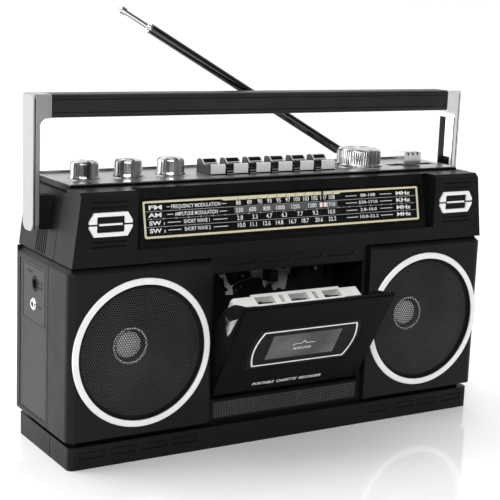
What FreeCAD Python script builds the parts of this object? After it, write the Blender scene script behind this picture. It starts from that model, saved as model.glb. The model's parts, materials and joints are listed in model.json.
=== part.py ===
import FreeCAD, Part
import math
import os

# Portable radio and cassette player, in millimetres. X runs to the right, Y to the back and Z up.
# The parts are drawn with y = 0 on the front face of the speaker blocks. They are written with the
# origin at the middle of the base's underside.

Vec = FreeCAD.Vector

# ---- case
HALF_W = 163.0          # half the case's width
DEPTH = 88.0            # front of the speaker blocks to the back cover
BASE_TOP = 15.0         # top of the foot tray
CASE_BOTTOM = 19.0      # underside of the speaker case, above the shadow gap
CASE_TOP = 130.0        # top of the speaker case
FRONT_DEPTH = 32.0      # depth of the front shell
REAR_SEAM = 83.5        # where the back cover starts
WALL = 2.5
EDGE_BEVEL = 4.0        # bevel round the top of the speaker case
CORNER_R = 6.0          # rounded front corners

# ---- speakers
SPEAKER_X = 112.1
SPEAKER_Z = 72.6
RING_OUTER_R = 48.5
RING_INNER_R = 44.4

# ---- cassette bay and door
BAY_HALF = 63.0         # half the gap between the speaker blocks
DOORWAY_HALF = 59.3
DOORWAY_Z0 = 33.0
DOORWAY_Z1 = 118.5
FRAME_FRONT = 4.0       # the bay frame is set back from the speaker blocks
DOOR_HALF = 58.7
HINGE_Y = 7.5
HINGE_Z = 36.0
DOOR_OPEN = 30.5        # degrees; the door is stored open on its stop
DOOR_T0 = 1.1           # door heights above the hinge axis
DOOR_T1 = 80.2
DOOR_FACE = -3.87       # door front, measured from the hinge plane
DOOR_BACK = -0.87
HINGE_PIN_R = 1.25
HINGE_GAP = 0.05

# ---- compact cassette, in the door's frame
TAPE_HALF = 50.2
TAPE_T0 = -0.8
TAPE_T1 = 63.0
TAPE_N0 = 16.0          # thin part, front and back faces
TAPE_N1 = 24.6
TAPE_THICK_N0 = 14.3    # thick part along the tape edge
TAPE_THICK_N1 = 26.3
HUB_X = 21.25
HUB_T = 28.2
HUB_HOLE_R = 4.0

# ---- tape mechanism
PLATE_Y0 = 36.8
PLATE_Y1 = 38.3
CAPSTAN_X = 26.5
CAPSTAN_T = 55.8
CAPSTAN_R = 1.25
ROLLER_R = 6.5
HEAD_TRAVEL = 9.5
BRIDGE_Y0 = 34.0         # bracket that carries the heads, behind the shut cassette
BRIDGE_Y1 = 35.4
GUIDE_PIN_X = (-12.0, 12.0)     # two pins that the head bridge slides on
GUIDE_PIN_Z = 112.0
GUIDE_PIN_R = 1.5
ROLLER_Z = HINGE_Z + CAPSTAN_T + CAPSTAN_R + ROLLER_R + 0.2 + HEAD_TRAVEL
FLYWHEEL_R = 18.0
MOTOR_X = -28.0
MOTOR_Z = 98.0
PULLEY_R = 4.0
DRIVE_Y0 = 39.8
DRIVE_Y1 = 43.8

# ---- tuner section
TUNER_Z0 = 130.2
TUNER_HALF_BOTTOM = 161.0
TUNER_HALF_TOP = 155.0
LEDGE_Z = 176.3         # ledge in front of the control deck
SHOULDER_Z = 173.2      # floor that the control deck stands on
DIAL_Y = 3.1            # lower front edge of the leaning dial panel
DIAL_Z = 139.3
DIAL_LEAN = 12.0        # degrees
DIAL_PANEL_HALF = 117.0
DIAL_HALF = 108.9
DIAL_T0 = 5.6
DIAL_T1 = 29.3
DIAL_RECESS = 2.9
POINTER_X = 27.0
POINTER_LOW = -41.0
POINTER_HIGH = 37.0
EMBLEM_X = 135.7
EMBLEM_Z = 156.5

# ---- control deck
DECK_HALF = 153.3
DECK_Y0 = 22.6
DECK_Y1 = 73.8
DECK_TOP = 178.3
PLATE_T = 0.8
KNOB_XY = {"volume_knob": (-133.9, 44.5), "tone_knob": (-102.6, 45.5), "balance_knob": (-71.3, 46.0)}
KNOB_R = 9.0
KNOB_H = 11.0
TUNING_XY = (82.0, 47.0)
TUNING_R = 15.85
TUNING_H = 12.6
DRUM_R = 13.1
SHAFT_R = 3.0
SHAFT_GAP = 0.05
SWITCH_X = 123.5
SWITCH_Y = 43.0
SWITCH_TRAVEL = 18.0    # to the right
SWITCH_NECK = 3.0       # half the width of the lever's neck
DC_YZ = (54.7, 109.8)
PHONE_YZ = (57.0, 96.0)

# ---- piano keys
KEY_NAMES = ("record_key", "play_key", "rewind_key", "fast_forward_key", "stop_eject_key", "pause_key")
KEY_X0 = -41.3          # middle of the first key
KEY_PITCH = 17.74
KEY_WIDTH = 11.3
KEY_SIDE_GAP = 0.6       # between the end keys and the deck
KEY_Y0 = 35.0
KEY_HOLE_Y1 = 56.2
KEY_AXLE_Y = 64.5
KEY_AXLE_Z = 168.5
KEY_AXLE_R = 1.5

# ---- handle
ARM_IN = 165.2
ARM_OUT = 169.5
ARM_Y0 = 42.4
ARM_Y1 = 59.5
ARM_Z0 = 146.0
HANDLE_TOP = 232.1
GRIP_BOTTOM = 217.4
GRIP_HALF = 157.3
PIVOT_Y = 50.0
PIVOT_Z = 155.0
PIVOT_R = 2.5

# ---- antenna
ANT_X = 84.0
ANT_Y = 69.5
ANT_Z = 184.4
ANT_TILT = 28.7         # degrees above the horizontal
ANT_TUBE_END = 183.4    # distances from the pivot
ANT_TIP_END = 209.5

# ---- batteries
CELL_HALF = 126.0       # half the length of four cells and their springs
CELL_Z0 = 24.0
CELL_Z1 = 59.5
CELL_Y0 = 50.5
COVER_HINGE_Y = 86.9    # studs at the lower edge of the battery door
COVER_HINGE_Z = 23.6
COVER_STUD_R = 0.75


# ---------------------------------------------------------------- helpers

def box(x0, x1, y0, y1, z0, z1):
    return Part.makeBox(x1 - x0, y1 - y0, z1 - z0, Vec(x0, y0, z0))


def rod_x(y, z, r, x0, x1):
    return Part.makeCylinder(r, x1 - x0, Vec(x0, y, z), Vec(1, 0, 0))


def rod_y(x, z, r, y0, y1):
    return Part.makeCylinder(r, y1 - y0, Vec(x, y0, z), Vec(0, 1, 0))


def rod_z(x, y, r, z0, z1):
    return Part.makeCylinder(r, z1 - z0, Vec(x, y, z0), Vec(0, 0, 1))


def cone_y(x, z, r0, r1, y0, y1):
    return Part.makeCone(r0, r1, y1 - y0, Vec(x, y0, z), Vec(0, 1, 0))


def cone_z(x, y, r0, r1, z0, z1):
    return Part.makeCone(r0, r1, z1 - z0, Vec(x, y, z0), Vec(0, 0, 1))


def prism(points, step):
    """Solid made by moving the closed polygon of 3-D points along the vector step."""
    corners = [Vec(*p) for p in points]
    face = Part.Face(Part.makePolygon(corners + corners[:1]))
    return face.extrude(Vec(*step))


def prism_x(yz, x0, x1):
    return prism([(x0, y, z) for y, z in yz], (x1 - x0, 0, 0))


def prism_y(xz, y0, y1):
    return prism([(x, y0, z) for x, z in xz], (0, y1 - y0, 0))


def prism_z(xy, z0, z1):
    return prism([(x, y, z0) for x, y in xy], (0, 0, z1 - z0))


def soften(shape, r, wanted):
    """Fillet every edge whose middle and direction satisfy wanted(middle, direction)."""
    return shape.makeFillet(r, pick(shape, wanted))


def bevel(shape, size, wanted):
    return shape.makeChamfer(size, pick(shape, wanted))


def pick(shape, wanted):
    chosen = []
    for edge in shape.Edges:
        middle = edge.CenterOfMass
        along = edge.tangentAt(edge.FirstParameter)
        if wanted(middle, along):
            chosen.append(edge)
    return chosen


def fuse(*shapes):
    whole = shapes[0]
    if len(shapes) > 1:
        whole = shapes[0].multiFuse(list(shapes[1:]))
    return whole.removeSplitter()


def mirror_x(shape):
    return shape.mirror(Vec(0, 0, 0), Vec(1, 0, 0))


def both_sides(shape):
    return [shape, mirror_x(shape)]


def in_door(shape):
    """Drawn as (x, distance behind the hinge, height above it); set on the hinge at the open angle."""
    shape = shape.copy()
    shape.rotate(Vec(0, 0, 0), Vec(1, 0, 0), DOOR_OPEN)
    shape.translate(Vec(0, HINGE_Y, HINGE_Z))
    return shape


def on_dial(shape):
    """Drawn as (x, depth behind the dial panel, height up the panel); leaned back with the panel."""
    shape = shape.copy()
    shape.rotate(Vec(0, 0, 0), Vec(1, 0, 0), -DIAL_LEAN)
    shape.translate(Vec(0, DIAL_Y, DIAL_Z))
    return shape


def on_antenna(shape):
    """Drawn pointing left from the pivot; tilted up about it."""
    shape = shape.copy()
    shape.rotate(Vec(0, 0, 0), Vec(0, 1, 0), ANT_TILT)
    shape.translate(Vec(ANT_X, ANT_Y, ANT_Z))
    return shape


def screw_places():
    return [(x, z) for x in (-152.0, 0.0, 152.0) for z in (68.0, 122.0)]


# ---------------------------------------------------------------- case

def base_tray():
    outer = box(-161, 161, 2, 86, 0, BASE_TOP)
    outer = soften(outer, 4.0, lambda m, a: abs(a.z) > 0.9)
    riser = box(-155, 155, 7, 81, BASE_TOP, CASE_BOTTOM)
    hollow = box(-152, 152, 10, 78, 3, CASE_BOTTOM + 1)
    shape = fuse(outer, riser).cut(hollow)
    for sign in (-1, 1):
        for i in range(4):
            middle = sign * (78.9 + 22.0 * i)
            shape = shape.cut(box(middle - 8.8, middle + 8.8, 1, 2.6, 6.7, 11.3))
            shape = fuse(shape, box(middle - 8.2, middle + 8.2, 2.2, 2.6, 7.3, 10.7))
        seam = sign * 161.0
        shape = shape.cut(box(seam - 0.5, seam + 0.5, FRONT_DEPTH, FRONT_DEPTH + 0.6, -1, BASE_TOP + 1))
    return shape


def front_shell():
    outer = box(-HALF_W, HALF_W, 0, FRONT_DEPTH, CASE_BOTTOM, CASE_TOP)
    outer = soften(outer, CORNER_R, lambda m, a: abs(a.z) > 0.9 and m.y < 1)
    outer = bevel(outer, EDGE_BEVEL, lambda m, a: m.z > CASE_TOP - 0.1 and m.y < FRONT_DEPTH - 1)
    bay = box(-BAY_HALF, BAY_HALF, -1, 6, CASE_BOTTOM - 1, CASE_TOP + 1)
    doorway = box(-DOORWAY_HALF - 1, DOORWAY_HALF + 1, 5, 9, DOORWAY_Z0 - 1, DOORWAY_Z1)
    shape = outer.cut(bay).cut(doorway)
    pocket_z0 = CASE_BOTTOM + WALL
    pocket_z1 = CASE_TOP - EDGE_BEVEL
    for sign in (-1, 1):
        near = sign * (BAY_HALF + WALL)
        far = sign * (HALF_W - WALL)
        shape = shape.cut(box(min(near, far), max(near, far), 3, FRONT_DEPTH + 1, pocket_z0, pocket_z1))
        shape = shape.cut(rod_y(sign * SPEAKER_X, SPEAKER_Z, RING_INNER_R + 1.6, -1, 4))
    shape = shape.cut(box(-BAY_HALF - 3, BAY_HALF + 3, 8.5, FRONT_DEPTH + 1, pocket_z0, pocket_z1))
    return shape


def bay_frame():
    """Header, side jambs and lower textured strip round the doorway, with the door's hinge studs."""
    plate = box(-62.6, 62.6, FRAME_FRONT, 6, CASE_BOTTOM + 0.3, CASE_TOP - 0.2)
    plate = plate.cut(box(-DOORWAY_HALF, DOORWAY_HALF, 3, 7, DOORWAY_Z0, DOORWAY_Z1))
    strip = box(-59.2, 59.2, 2.4, FRAME_FRONT + 0.1, CASE_BOTTOM + 0.9, DOORWAY_Z0)
    strip = bevel(strip, 1.2, lambda m, a: m.y < 2.5 and (abs(m.z - DOORWAY_Z0) < 0.1 or abs(a.z) > 0.9))
    cheek = box(DOORWAY_HALF, DOORWAY_HALF + 1.0, 5.9, 36.6, DOORWAY_Z0, DOORWAY_Z1)
    floor = box(-DOORWAY_HALF - 1, DOORWAY_HALF + 1, 5.9, 36.6, DOORWAY_Z0 - 1.0, DOORWAY_Z0)
    stud = rod_x(HINGE_Y, HINGE_Z, HINGE_PIN_R, 54.9, DOORWAY_HALF + 0.5)
    frame = fuse(plate, strip, floor, *both_sides(cheek), *both_sides(stud))
    for i in range(4):
        x0 = -50.2 + 26.1 * i
        slot = box(x0, x0 + 22.3, 3, FRAME_FRONT + 0.7, 123.6, 127.0)
        frame = frame.cut(soften(slot, 1.2, lambda m, a: abs(a.y) > 0.9))
    return frame


def mid_shell():
    outer = box(-HALF_W, HALF_W, FRONT_DEPTH, REAR_SEAM, CASE_BOTTOM, CASE_TOP)
    outer = bevel(outer, EDGE_BEVEL, lambda m, a: m.z > CASE_TOP - 0.1 and abs(a.y) > 0.9)
    hollow = box(-HALF_W + WALL, HALF_W - WALL, FRONT_DEPTH - 1, REAR_SEAM + 1,
                 CASE_BOTTOM + WALL, CASE_TOP - EDGE_BEVEL)
    shape = outer.cut(hollow)
    for sign in (-1, 1):
        seam = sign * HALF_W
        shape = shape.cut(box(seam - 0.6, seam + 0.6, FRONT_DEPTH - 0.1, FRONT_DEPTH + 0.6,
                              CASE_BOTTOM - 1, CASE_TOP + 1))
        shape = shape.cut(box(seam - 1.3, seam + 1.3, 36, 80, 21.8, 122.6))
    shape = shape.cut(box(-HALF_W - 1, -HALF_W + WALL + 1, 45, 65, 88, 118))
    posts = []
    for x, z in screw_places():
        post = rod_y(x, z, 4.2, 70, REAR_SEAM)
        if abs(x) > 100:
            wall_x = math.copysign(HALF_W - 1.5, x)
            post = fuse(post, box(min(x, wall_x), max(x, wall_x), 70, REAR_SEAM, z - 1.5, z + 1.5))
        elif z > 100:
            post = fuse(post, box(-1.5, 1.5, 70, REAR_SEAM, z, CASE_TOP - 2))
        else:
            continue
        posts.append(post)
    shape = fuse(shape, *posts)
    for x, z in screw_places():
        shape = shape.cut(rod_y(x, z, 1.45, 72, REAR_SEAM + 1))
    return shape


def back_cover():
    outer = box(-HALF_W, HALF_W, REAR_SEAM, DEPTH, CASE_BOTTOM, CASE_TOP)
    outer = bevel(outer, 3.0, lambda m, a: m.y > DEPTH - 0.1)
    tray = box(-CELL_HALF - 1.8, CELL_HALF + 1.8, CELL_Y0 - 1.8, REAR_SEAM + 0.5,
               CELL_Z0 - 1.8, CELL_Z1 + 1.8)
    shape = fuse(outer, tray)
    shape = shape.cut(box(-CELL_HALF, CELL_HALF, CELL_Y0, DEPTH + 1, CELL_Z0, CELL_Z1))
    shape = shape.cut(box(-CELL_HALF - 3, CELL_HALF + 3, 85.3, DEPTH + 1, CELL_Z0 - 2.2, CELL_Z1 + 2.6))
    for x, z in screw_places():
        shape = shape.cut(rod_y(x, z, 1.6, REAR_SEAM - 1, DEPTH + 1))
        shape = shape.cut(rod_y(x, z, 3.5, 86.2, DEPTH + 1))
    for sign in (-1, 1):
        near = sign * (CELL_HALF + 2.0)
        far = sign * (CELL_HALF + 5.2)
        shape = shape.cut(rod_x(COVER_HINGE_Y, COVER_HINGE_Z, COVER_STUD_R + SHAFT_GAP,
                                min(near, far), max(near, far)))
        for i in range(7):
            z = 80.0 + 5.0 * i
            vent = box(sign * 95 - 26, sign * 95 + 26, REAR_SEAM - 1, DEPTH + 1, z, z + 2.2)
            shape = shape.cut(vent)
    return shape


def battery_door():
    door = box(-CELL_HALF - 2.7, CELL_HALF + 2.7, 85.8, DEPTH, CELL_Z0 - 1.3, CELL_Z1 + 2.3)
    door = bevel(door, 0.8, lambda m, a: m.y > DEPTH - 0.1 and abs(a.y) < 0.1)
    stud = rod_x(COVER_HINGE_Y, COVER_HINGE_Z, COVER_STUD_R, CELL_HALF + 1.5, CELL_HALF + 4.9)
    door = fuse(door, *both_sides(stud))
    for sign in (-1, 1):
        for i in range(4):
            z = CELL_Z1 - 6.5 + 1.9 * i
            door = door.cut(box(sign * 80 - 10, sign * 80 + 10, DEPTH - 0.5, DEPTH + 1, z, z + 0.9))
    return door


def back_screws():
    screws = []
    for x, z in screw_places():
        shank_end = 73.0
        if abs(x) < 1 and z < 100:
            shank_end = REAR_SEAM - 2.0
        head = rod_y(x, z, 3.2, 86.2, 87.8)
        head = head.cut(box(x - 2.2, x + 2.2, 87.0, 88, z - 0.4, z + 0.4))
        head = head.cut(box(x - 0.4, x + 0.4, 87.0, 88, z - 2.2, z + 2.2))
        screws.append(fuse(head, rod_y(x, z, 1.4, shank_end, 86.3)))
    return Part.makeCompound(screws)


def side_panel():
    """Right-hand textured panel; the left one has a plain upper area that holds the sockets."""
    panel = box(HALF_W - 1.3, HALF_W - 0.3, 36.2, 79.8, 22.0, 122.4)
    return soften(panel, 0.8, lambda m, a: abs(a.x) > 0.9)


def left_side_panel():
    panel = mirror_x(side_panel())
    plate = box(-HALF_W + 0.3, -HALF_W + 0.9, 38.3, 74.4, 84.5, 120.6)
    frame_cut = box(-HALF_W - 0.4, -HALF_W + 0.5, 37.7, 75.0, 83.9, 121.2)
    panel = fuse(panel.cut(frame_cut), plate)
    for (y, z), r in ((DC_YZ, 5.2), (PHONE_YZ, 4.2)):
        panel = panel.cut(rod_x(y, z, r, -HALF_W - 2, -HALF_W + 4))
    return panel


def dc_socket():
    y, z = DC_YZ
    body = fuse(box(-HALF_W + 2.6, -HALF_W + 14, y - 6, y + 6, z - 6, z + 6),
                rod_x(y, z, 5.1, -HALF_W + 0.1, -HALF_W + 3))
    body = body.cut(rod_x(y, z, 3.2, -HALF_W - 1, -HALF_W + 10))
    return fuse(body, rod_x(y, z, 0.85, -HALF_W + 2.2, -HALF_W + 10.5))


def phone_socket():
    y, z = PHONE_YZ
    body = fuse(box(-HALF_W + 2.6, -HALF_W + 16, y - 4.5, y + 4.5, z - 5, z + 5),
                rod_x(y, z, 4.1, -HALF_W + 0.1, -HALF_W + 3))
    nut = rod_x(y, z, 3.2, -HALF_W - 0.7, -HALF_W + 1)
    return fuse(body, nut).cut(rod_x(y, z, 1.8, -HALF_W - 1, -HALF_W + 14))


# ---------------------------------------------------------------- speakers

def speaker_ring(x):
    band = rod_y(x, SPEAKER_Z, RING_OUTER_R, -1.3, 0)
    band = bevel(band, 0.5, lambda m, a: m.y < -1.2)
    sleeve = rod_y(x, SPEAKER_Z, RING_INNER_R + 1.5, -1.3, 2.9)
    return fuse(band, sleeve).cut(rod_y(x, SPEAKER_Z, RING_INNER_R, -2, 4))


def speaker_grille(x):
    """Thin dome that stands 3 mm proud in the middle, with a flat rim inside the ring."""
    rise = 5.0
    rim_r = RING_INNER_R - 0.1
    dome_r = rim_r - 1.2
    ball_r = (dome_r ** 2 + rise ** 2) / (2 * rise)
    rim_y = 2.0
    thick = 0.8
    ball_y = rim_y - rise + ball_r
    outer = Part.makeSphere(ball_r, Vec(x, ball_y, SPEAKER_Z))
    inner = Part.makeSphere(ball_r - thick, Vec(x, ball_y, SPEAKER_Z))
    cap = outer.cut(inner).common(rod_y(x, SPEAKER_Z, rim_r, rim_y - rise - 1, rim_y + thick))
    rim = rod_y(x, SPEAKER_Z, rim_r, rim_y, rim_y + thick).cut(rod_y(x, SPEAKER_Z, dome_r - 0.3, 1, 4))
    return fuse(cap, rim)


def speaker(x):
    """Basket with its magnet, and the paper cone with its dust cap, as two solids."""
    flange = rod_y(x, SPEAKER_Z, 46.3, 3.1, 5.0)
    bowl = cone_y(x, SPEAKER_Z, 44.0, 24.0, 5.0, 26.0)
    magnet = rod_y(x, SPEAKER_Z, 24.0, 26.0, 40.0)
    basket = fuse(flange, bowl, magnet)
    basket = basket.cut(rod_y(x, SPEAKER_Z, 42.5, 2.0, 5.0))
    basket = basket.cut(cone_y(x, SPEAKER_Z, 42.5, 21.5, 5.0, 26.0))
    basket = basket.cut(rod_y(x, SPEAKER_Z, 9.0, 25.0, 30.0))
    outer = cone_y(x, SPEAKER_Z, 40.5, 10.5, 6.5, 25.5)
    inner = cone_y(x, SPEAKER_Z, 39.3, 9.3, 6.4, 25.0)
    paper = outer.cut(inner)
    cap_ball = Part.makeSphere(20.0, Vec(x, 39.0, SPEAKER_Z))
    dust_cap = cap_ball.common(rod_y(x, SPEAKER_Z, 12.5, 12.0, 24.2))
    cone = fuse(paper, dust_cap)
    return Part.makeCompound([basket, cone])


# ---------------------------------------------------------------- door and cassette

def window_outline(half, bulge, t0, t1, n0, n1):
    """Slab with straight top and bottom and bowed sides."""
    mid = (t0 + t1) / 2
    corners = [Vec(-half, n0, t0), Vec(half, n0, t0), Vec(half, n0, t1), Vec(-half, n0, t1)]
    edges = [
        Part.LineSegment(corners[0], corners[1]).toShape(),
        Part.Arc(corners[1], Vec(half + bulge, n0, mid), corners[2]).toShape(),
        Part.LineSegment(corners[2], corners[3]).toShape(),
        Part.Arc(corners[3], Vec(-half - bulge, n0, mid), corners[0]).toShape(),
    ]
    return Part.Face(Part.Wire(edges)).extrude(Vec(0, n1 - n0, 0))


def cassette_door():
    panel = box(-DOOR_HALF, DOOR_HALF, DOOR_FACE, DOOR_BACK, DOOR_T0, DOOR_T1)
    panel = bevel(panel, 0.7, lambda m, a: m.y < DOOR_FACE + 0.1)
    panel = panel.cut(window_outline(39.5, 3.6, 23.2, 59.5, DOOR_FACE - 1, DOOR_FACE + 1.4))
    panel = panel.cut(box(-27.5, 27.5, -5, 0, 30.5, 53.5))
    lug = fuse(rod_x(0, 0, 2.9, 55.1, 58.5), box(55.1, 58.5, DOOR_FACE + 1, DOOR_BACK, 0, 4))
    door = fuse(panel, *both_sides(lug))
    hole = rod_x(0, 0, HINGE_PIN_R + HINGE_GAP, 54, 60)
    for cutter in both_sides(hole):
        door = door.cut(cutter)
    return in_door(door)


def door_window():
    pane = window_outline(39.3, 3.6, 23.4, 59.3, DOOR_FACE + 0.3, DOOR_FACE + 1.4)
    return in_door(pane)


def cassette_holder():
    """Cheek plates, rear lips, front guides and shelf that carry the cassette behind the door."""
    cheek_outline = [(DOOR_BACK, 4.5), (DOOR_BACK, 77.5), (2.0, 77.5), (12.0, 70.0), (19.0, 59.5),
                     (22.5, 42.0), (28.2, 30.0), (28.2, -2.4), (3.4, -2.4), (3.4, 3.4)]
    cheek = prism_x(cheek_outline, 54.4, 56.8)
    lip = box(47.0, 54.5, 27.0, 28.2, -2.4, 30.0)
    guide = box(50.9, 54.5, 12.4, 13.6, -2.4, 55.0)
    shelf = box(-54.5, 54.5, 12.4, 28.2, -2.4, -1.2)
    return in_door(fuse(shelf, *both_sides(cheek), *both_sides(lip), *both_sides(guide)))


def holder_springs():
    outline = [(2.3, 67.0), (9.5, 57.5), (15.5, 57.0), (9.5, 50.5), (5.6, 48.0), (4.0, 53.0)]
    leaf = prism_x(outline, 56.8, 57.5)
    return in_door(Part.makeCompound(both_sides(leaf)))


def cassette_shell():
    thin = box(-TAPE_HALF, TAPE_HALF, TAPE_N0, TAPE_N1, TAPE_T0, TAPE_T1)
    thin = soften(thin, 2.5, lambda m, a: abs(a.y) > 0.9)
    thick = prism_y([(-37.5, 46.0), (37.5, 46.0), (35.0, TAPE_T1), (-35.0, TAPE_T1)],
                    TAPE_THICK_N0, TAPE_THICK_N1)
    shell = fuse(thin, thick)
    shell = shell.cut(box(-46, 46, TAPE_N0 + 1.4, TAPE_N1 - 1.4, 3, 50.5))
    for x0, x1 in ((-33.5, -19.5), (-14.8, -11.8), (-7.2, 7.2), (11.8, 14.8), (19.5, 33.5)):
        shell = shell.cut(box(x0, x1, TAPE_N0 + 1.0, TAPE_N1 - 1.0, 52.5, TAPE_T1 + 1))
    for x in (-HUB_X, HUB_X):
        shell = shell.cut(rod_y(x, HUB_T, 5.4, TAPE_N0 - 1, TAPE_N1 + 1))
    for x in (-CAPSTAN_X, CAPSTAN_X):
        hole = box(x - 3.0, x + 3.0, TAPE_THICK_N0 - 1, TAPE_THICK_N1 + 1, 51.5, 58.5)
        shell = shell.cut(soften(hole, 2.9, lambda m, a: abs(a.y) > 0.9))
    return in_door(shell)


def tape_hub(x):
    """Toothed hub, turning in the cassette shell, with its tape pack wound on it."""
    middle = (TAPE_N0 + TAPE_N1) / 2
    collar = rod_y(x, HUB_T, 5.1, TAPE_N0 + 0.5, TAPE_N1 - 0.5)
    drum = rod_y(x, HUB_T, 10.8, TAPE_N0 + 1.8, TAPE_N1 - 1.8)
    hub = fuse(collar, drum).cut(rod_y(x, HUB_T, HUB_HOLE_R, 0, 40))
    teeth = []
    for i in range(6):
        tooth = box(x + 3.3, x + 4.5, TAPE_N0 + 0.5, middle, HUB_T - 0.5, HUB_T + 0.5)
        tooth.rotate(Vec(x, 0, HUB_T), Vec(0, 1, 0), 60 * i)
        teeth.append(tooth)
    return in_door(fuse(hub, *teeth))


# ---------------------------------------------------------------- tape mechanism

def mech_plate():
    plate = box(-60.2, 60.2, PLATE_Y0, PLATE_Y1, 34, 124)
    for x in (-HUB_X, HUB_X):
        plate = plate.cut(rod_y(x, HINGE_Z + HUB_T, 2.05, 30, 45))
    plate = plate.cut(rod_y(CAPSTAN_X, HINGE_Z + CAPSTAN_T, CAPSTAN_R + SHAFT_GAP, 30, 45))
    plate = plate.cut(box(-12, 12, 30, 45, 44, 56))
    pins = [rod_y(x, GUIDE_PIN_Z, GUIDE_PIN_R, 31.0, PLATE_Y1) for x in GUIDE_PIN_X]
    lever_outline = [(-38.6, 110.0), (-33.7, 110.2), (-31.4, 104.5), (-27.4, 99.3), (-26.7, 95.1), (-32.4, 95.4),
                     (-32.4, 97.6), (-30.3, 98.3), (-33.4, 101.2), (-34.8, 106.9), (-37.1, 107.8)]
    lever = prism_y(lever_outline, BRIDGE_Y0, BRIDGE_Y1 - 0.2)
    lever_post = rod_y(-33.6, 106.0, 1.0, BRIDGE_Y1 - 0.4, PLATE_Y1)
    column = fuse(box(-56, -51, 33.5, PLATE_Y0 + 0.1, 100, 122), box(50, 56, 33.5, PLATE_Y0 + 0.1, 100, 122))
    return fuse(plate, lever, lever_post, *pins, *column.Solids)


def head_bridge():
    """Sliding bracket above the cassette, with the play head, the erase head and the roller's axle."""
    y0 = BRIDGE_Y0
    y1 = BRIDGE_Y1
    outline = [(-24, 122), (36, 122), (36, 106), (32, 103), (20.5, 103), (17.7, 108), (15.5, 95.7), (13.2, 95.3),
               (11.2, 96.8), (8.5, 96.5), (8.0, 95.3), (5.8, 95.5), (4.6, 99.2), (2.7, 100.8), (0.2, 100.4),
               (-1.2, 97.9), (-2.8, 99.9), (-2.7, 103.9), (-6.1, 105.6), (-10.7, 105.9), (-12.8, 108.1),
               (-14.5, 113.5), (-24, 115)]
    plate = prism_y(outline, y0, y1)
    for x in GUIDE_PIN_X:
        slot_top = GUIDE_PIN_Z + HEAD_TRAVEL + GUIDE_PIN_R + 0.1
        plate = plate.cut(box(x - GUIDE_PIN_R - 0.1, x + GUIDE_PIN_R + 0.1, y0 - 1, y1 + 1,
                              GUIDE_PIN_Z - GUIDE_PIN_R - 0.1, slot_top))
    head = soften(box(-3.6, 3.6, 25.2, y0 + 0.1, 103.6, 112), 1.5, lambda m, a: abs(a.y) > 0.9 and m.z < 105)
    axle = rod_y(CAPSTAN_X, ROLLER_Z, 1.2, 24.3, y0 + 0.1)
    return fuse(plate, head, axle)


def pinch_roller():
    roller = rod_y(CAPSTAN_X, ROLLER_Z, ROLLER_R, 25.0, 31.4)
    return roller.cut(rod_y(CAPSTAN_X, ROLLER_Z, 1.26, 20, 40))


def capstan():
    """Capstan shaft with its flywheel behind the plate."""
    z = HINGE_Z + CAPSTAN_T
    shaft = rod_y(CAPSTAN_X, z, CAPSTAN_R, HINGE_Y + 18.0, 47.0)
    wheel = rod_y(CAPSTAN_X, z, FLYWHEEL_R, DRIVE_Y0, DRIVE_Y1)
    wheel = wheel.cut(rod_y(CAPSTAN_X, z, FLYWHEEL_R - 2.5, DRIVE_Y0 + 2.4, DRIVE_Y1 + 1))
    hub = rod_y(CAPSTAN_X, z, 4.0, DRIVE_Y0, DRIVE_Y1 + 1.5)
    return fuse(wheel, hub, shaft)


def motor():
    can = rod_y(MOTOR_X, MOTOR_Z, 13.0, 45.0, 68.0)
    can = soften(can, 1.5, lambda m, a: m.y > 67.9)
    neck = rod_y(MOTOR_X, MOTOR_Z, 3.0, 44.2, 45.1)
    bore = rod_y(MOTOR_X, MOTOR_Z, 1.05, 44, 52)
    foot = box(MOTOR_X - 16, MOTOR_X - 10, PLATE_Y1, 50.0, MOTOR_Z - 4, MOTOR_Z + 4)
    return fuse(can, neck, foot).cut(bore)


def motor_pulley():
    wheel = rod_y(MOTOR_X, MOTOR_Z, PULLEY_R, DRIVE_Y0, DRIVE_Y1)
    return fuse(wheel, rod_y(MOTOR_X, MOTOR_Z, 1.0, DRIVE_Y0, 51.5))


def belt_loop(extra, y0, y1):
    """Slab bounded by the two pulleys' outer tangents, each pulley's radius made larger by extra."""
    ax, az, ar = MOTOR_X, MOTOR_Z, PULLEY_R + extra
    bx, bz, br = CAPSTAN_X, HINGE_Z + CAPSTAN_T, FLYWHEEL_R + extra
    span = math.hypot(bx - ax, bz - az)
    heading = math.atan2(bz - az, bx - ax)
    spread = math.acos((ar - br) / span)
    corners = []
    for cx, cz, r, turn in ((ax, az, ar, spread), (bx, bz, br, spread),
                            (bx, bz, br, -spread), (ax, az, ar, -spread)):
        angle = heading + turn
        corners.append((cx + r * math.cos(angle), cz + r * math.sin(angle)))
    return fuse(prism_y(corners, y0, y1), rod_y(ax, az, ar, y0, y1), rod_y(bx, bz, br, y0, y1))


def drive_belt():
    y0 = DRIVE_Y0 + 0.8
    y1 = DRIVE_Y1 - 0.8
    return belt_loop(1.3, y0, y1).cut(belt_loop(0.3, y0 - 1, y1 + 1))


def spindle(x):
    """Reel table, tapered nose and rear collar on one shaft."""
    z = HINGE_Z + HUB_T
    table = rod_y(x, z, 8.5, HINGE_Y + 27.3, HINGE_Y + 28.7)
    root = rod_y(x, z, 2.2, HINGE_Y + 23.8, HINGE_Y + 27.4)
    nose = cone_y(x, z, 0.9, 2.2, HINGE_Y + 21.0, HINGE_Y + 23.8)
    shaft = rod_y(x, z, 2.0, HINGE_Y + 28.6, 42.0)
    collar = rod_y(x, z, 4.0, PLATE_Y1 + 0.4, 41.0)
    return fuse(table, root, nose, shaft, collar)


# ---------------------------------------------------------------- tuner section

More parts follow.
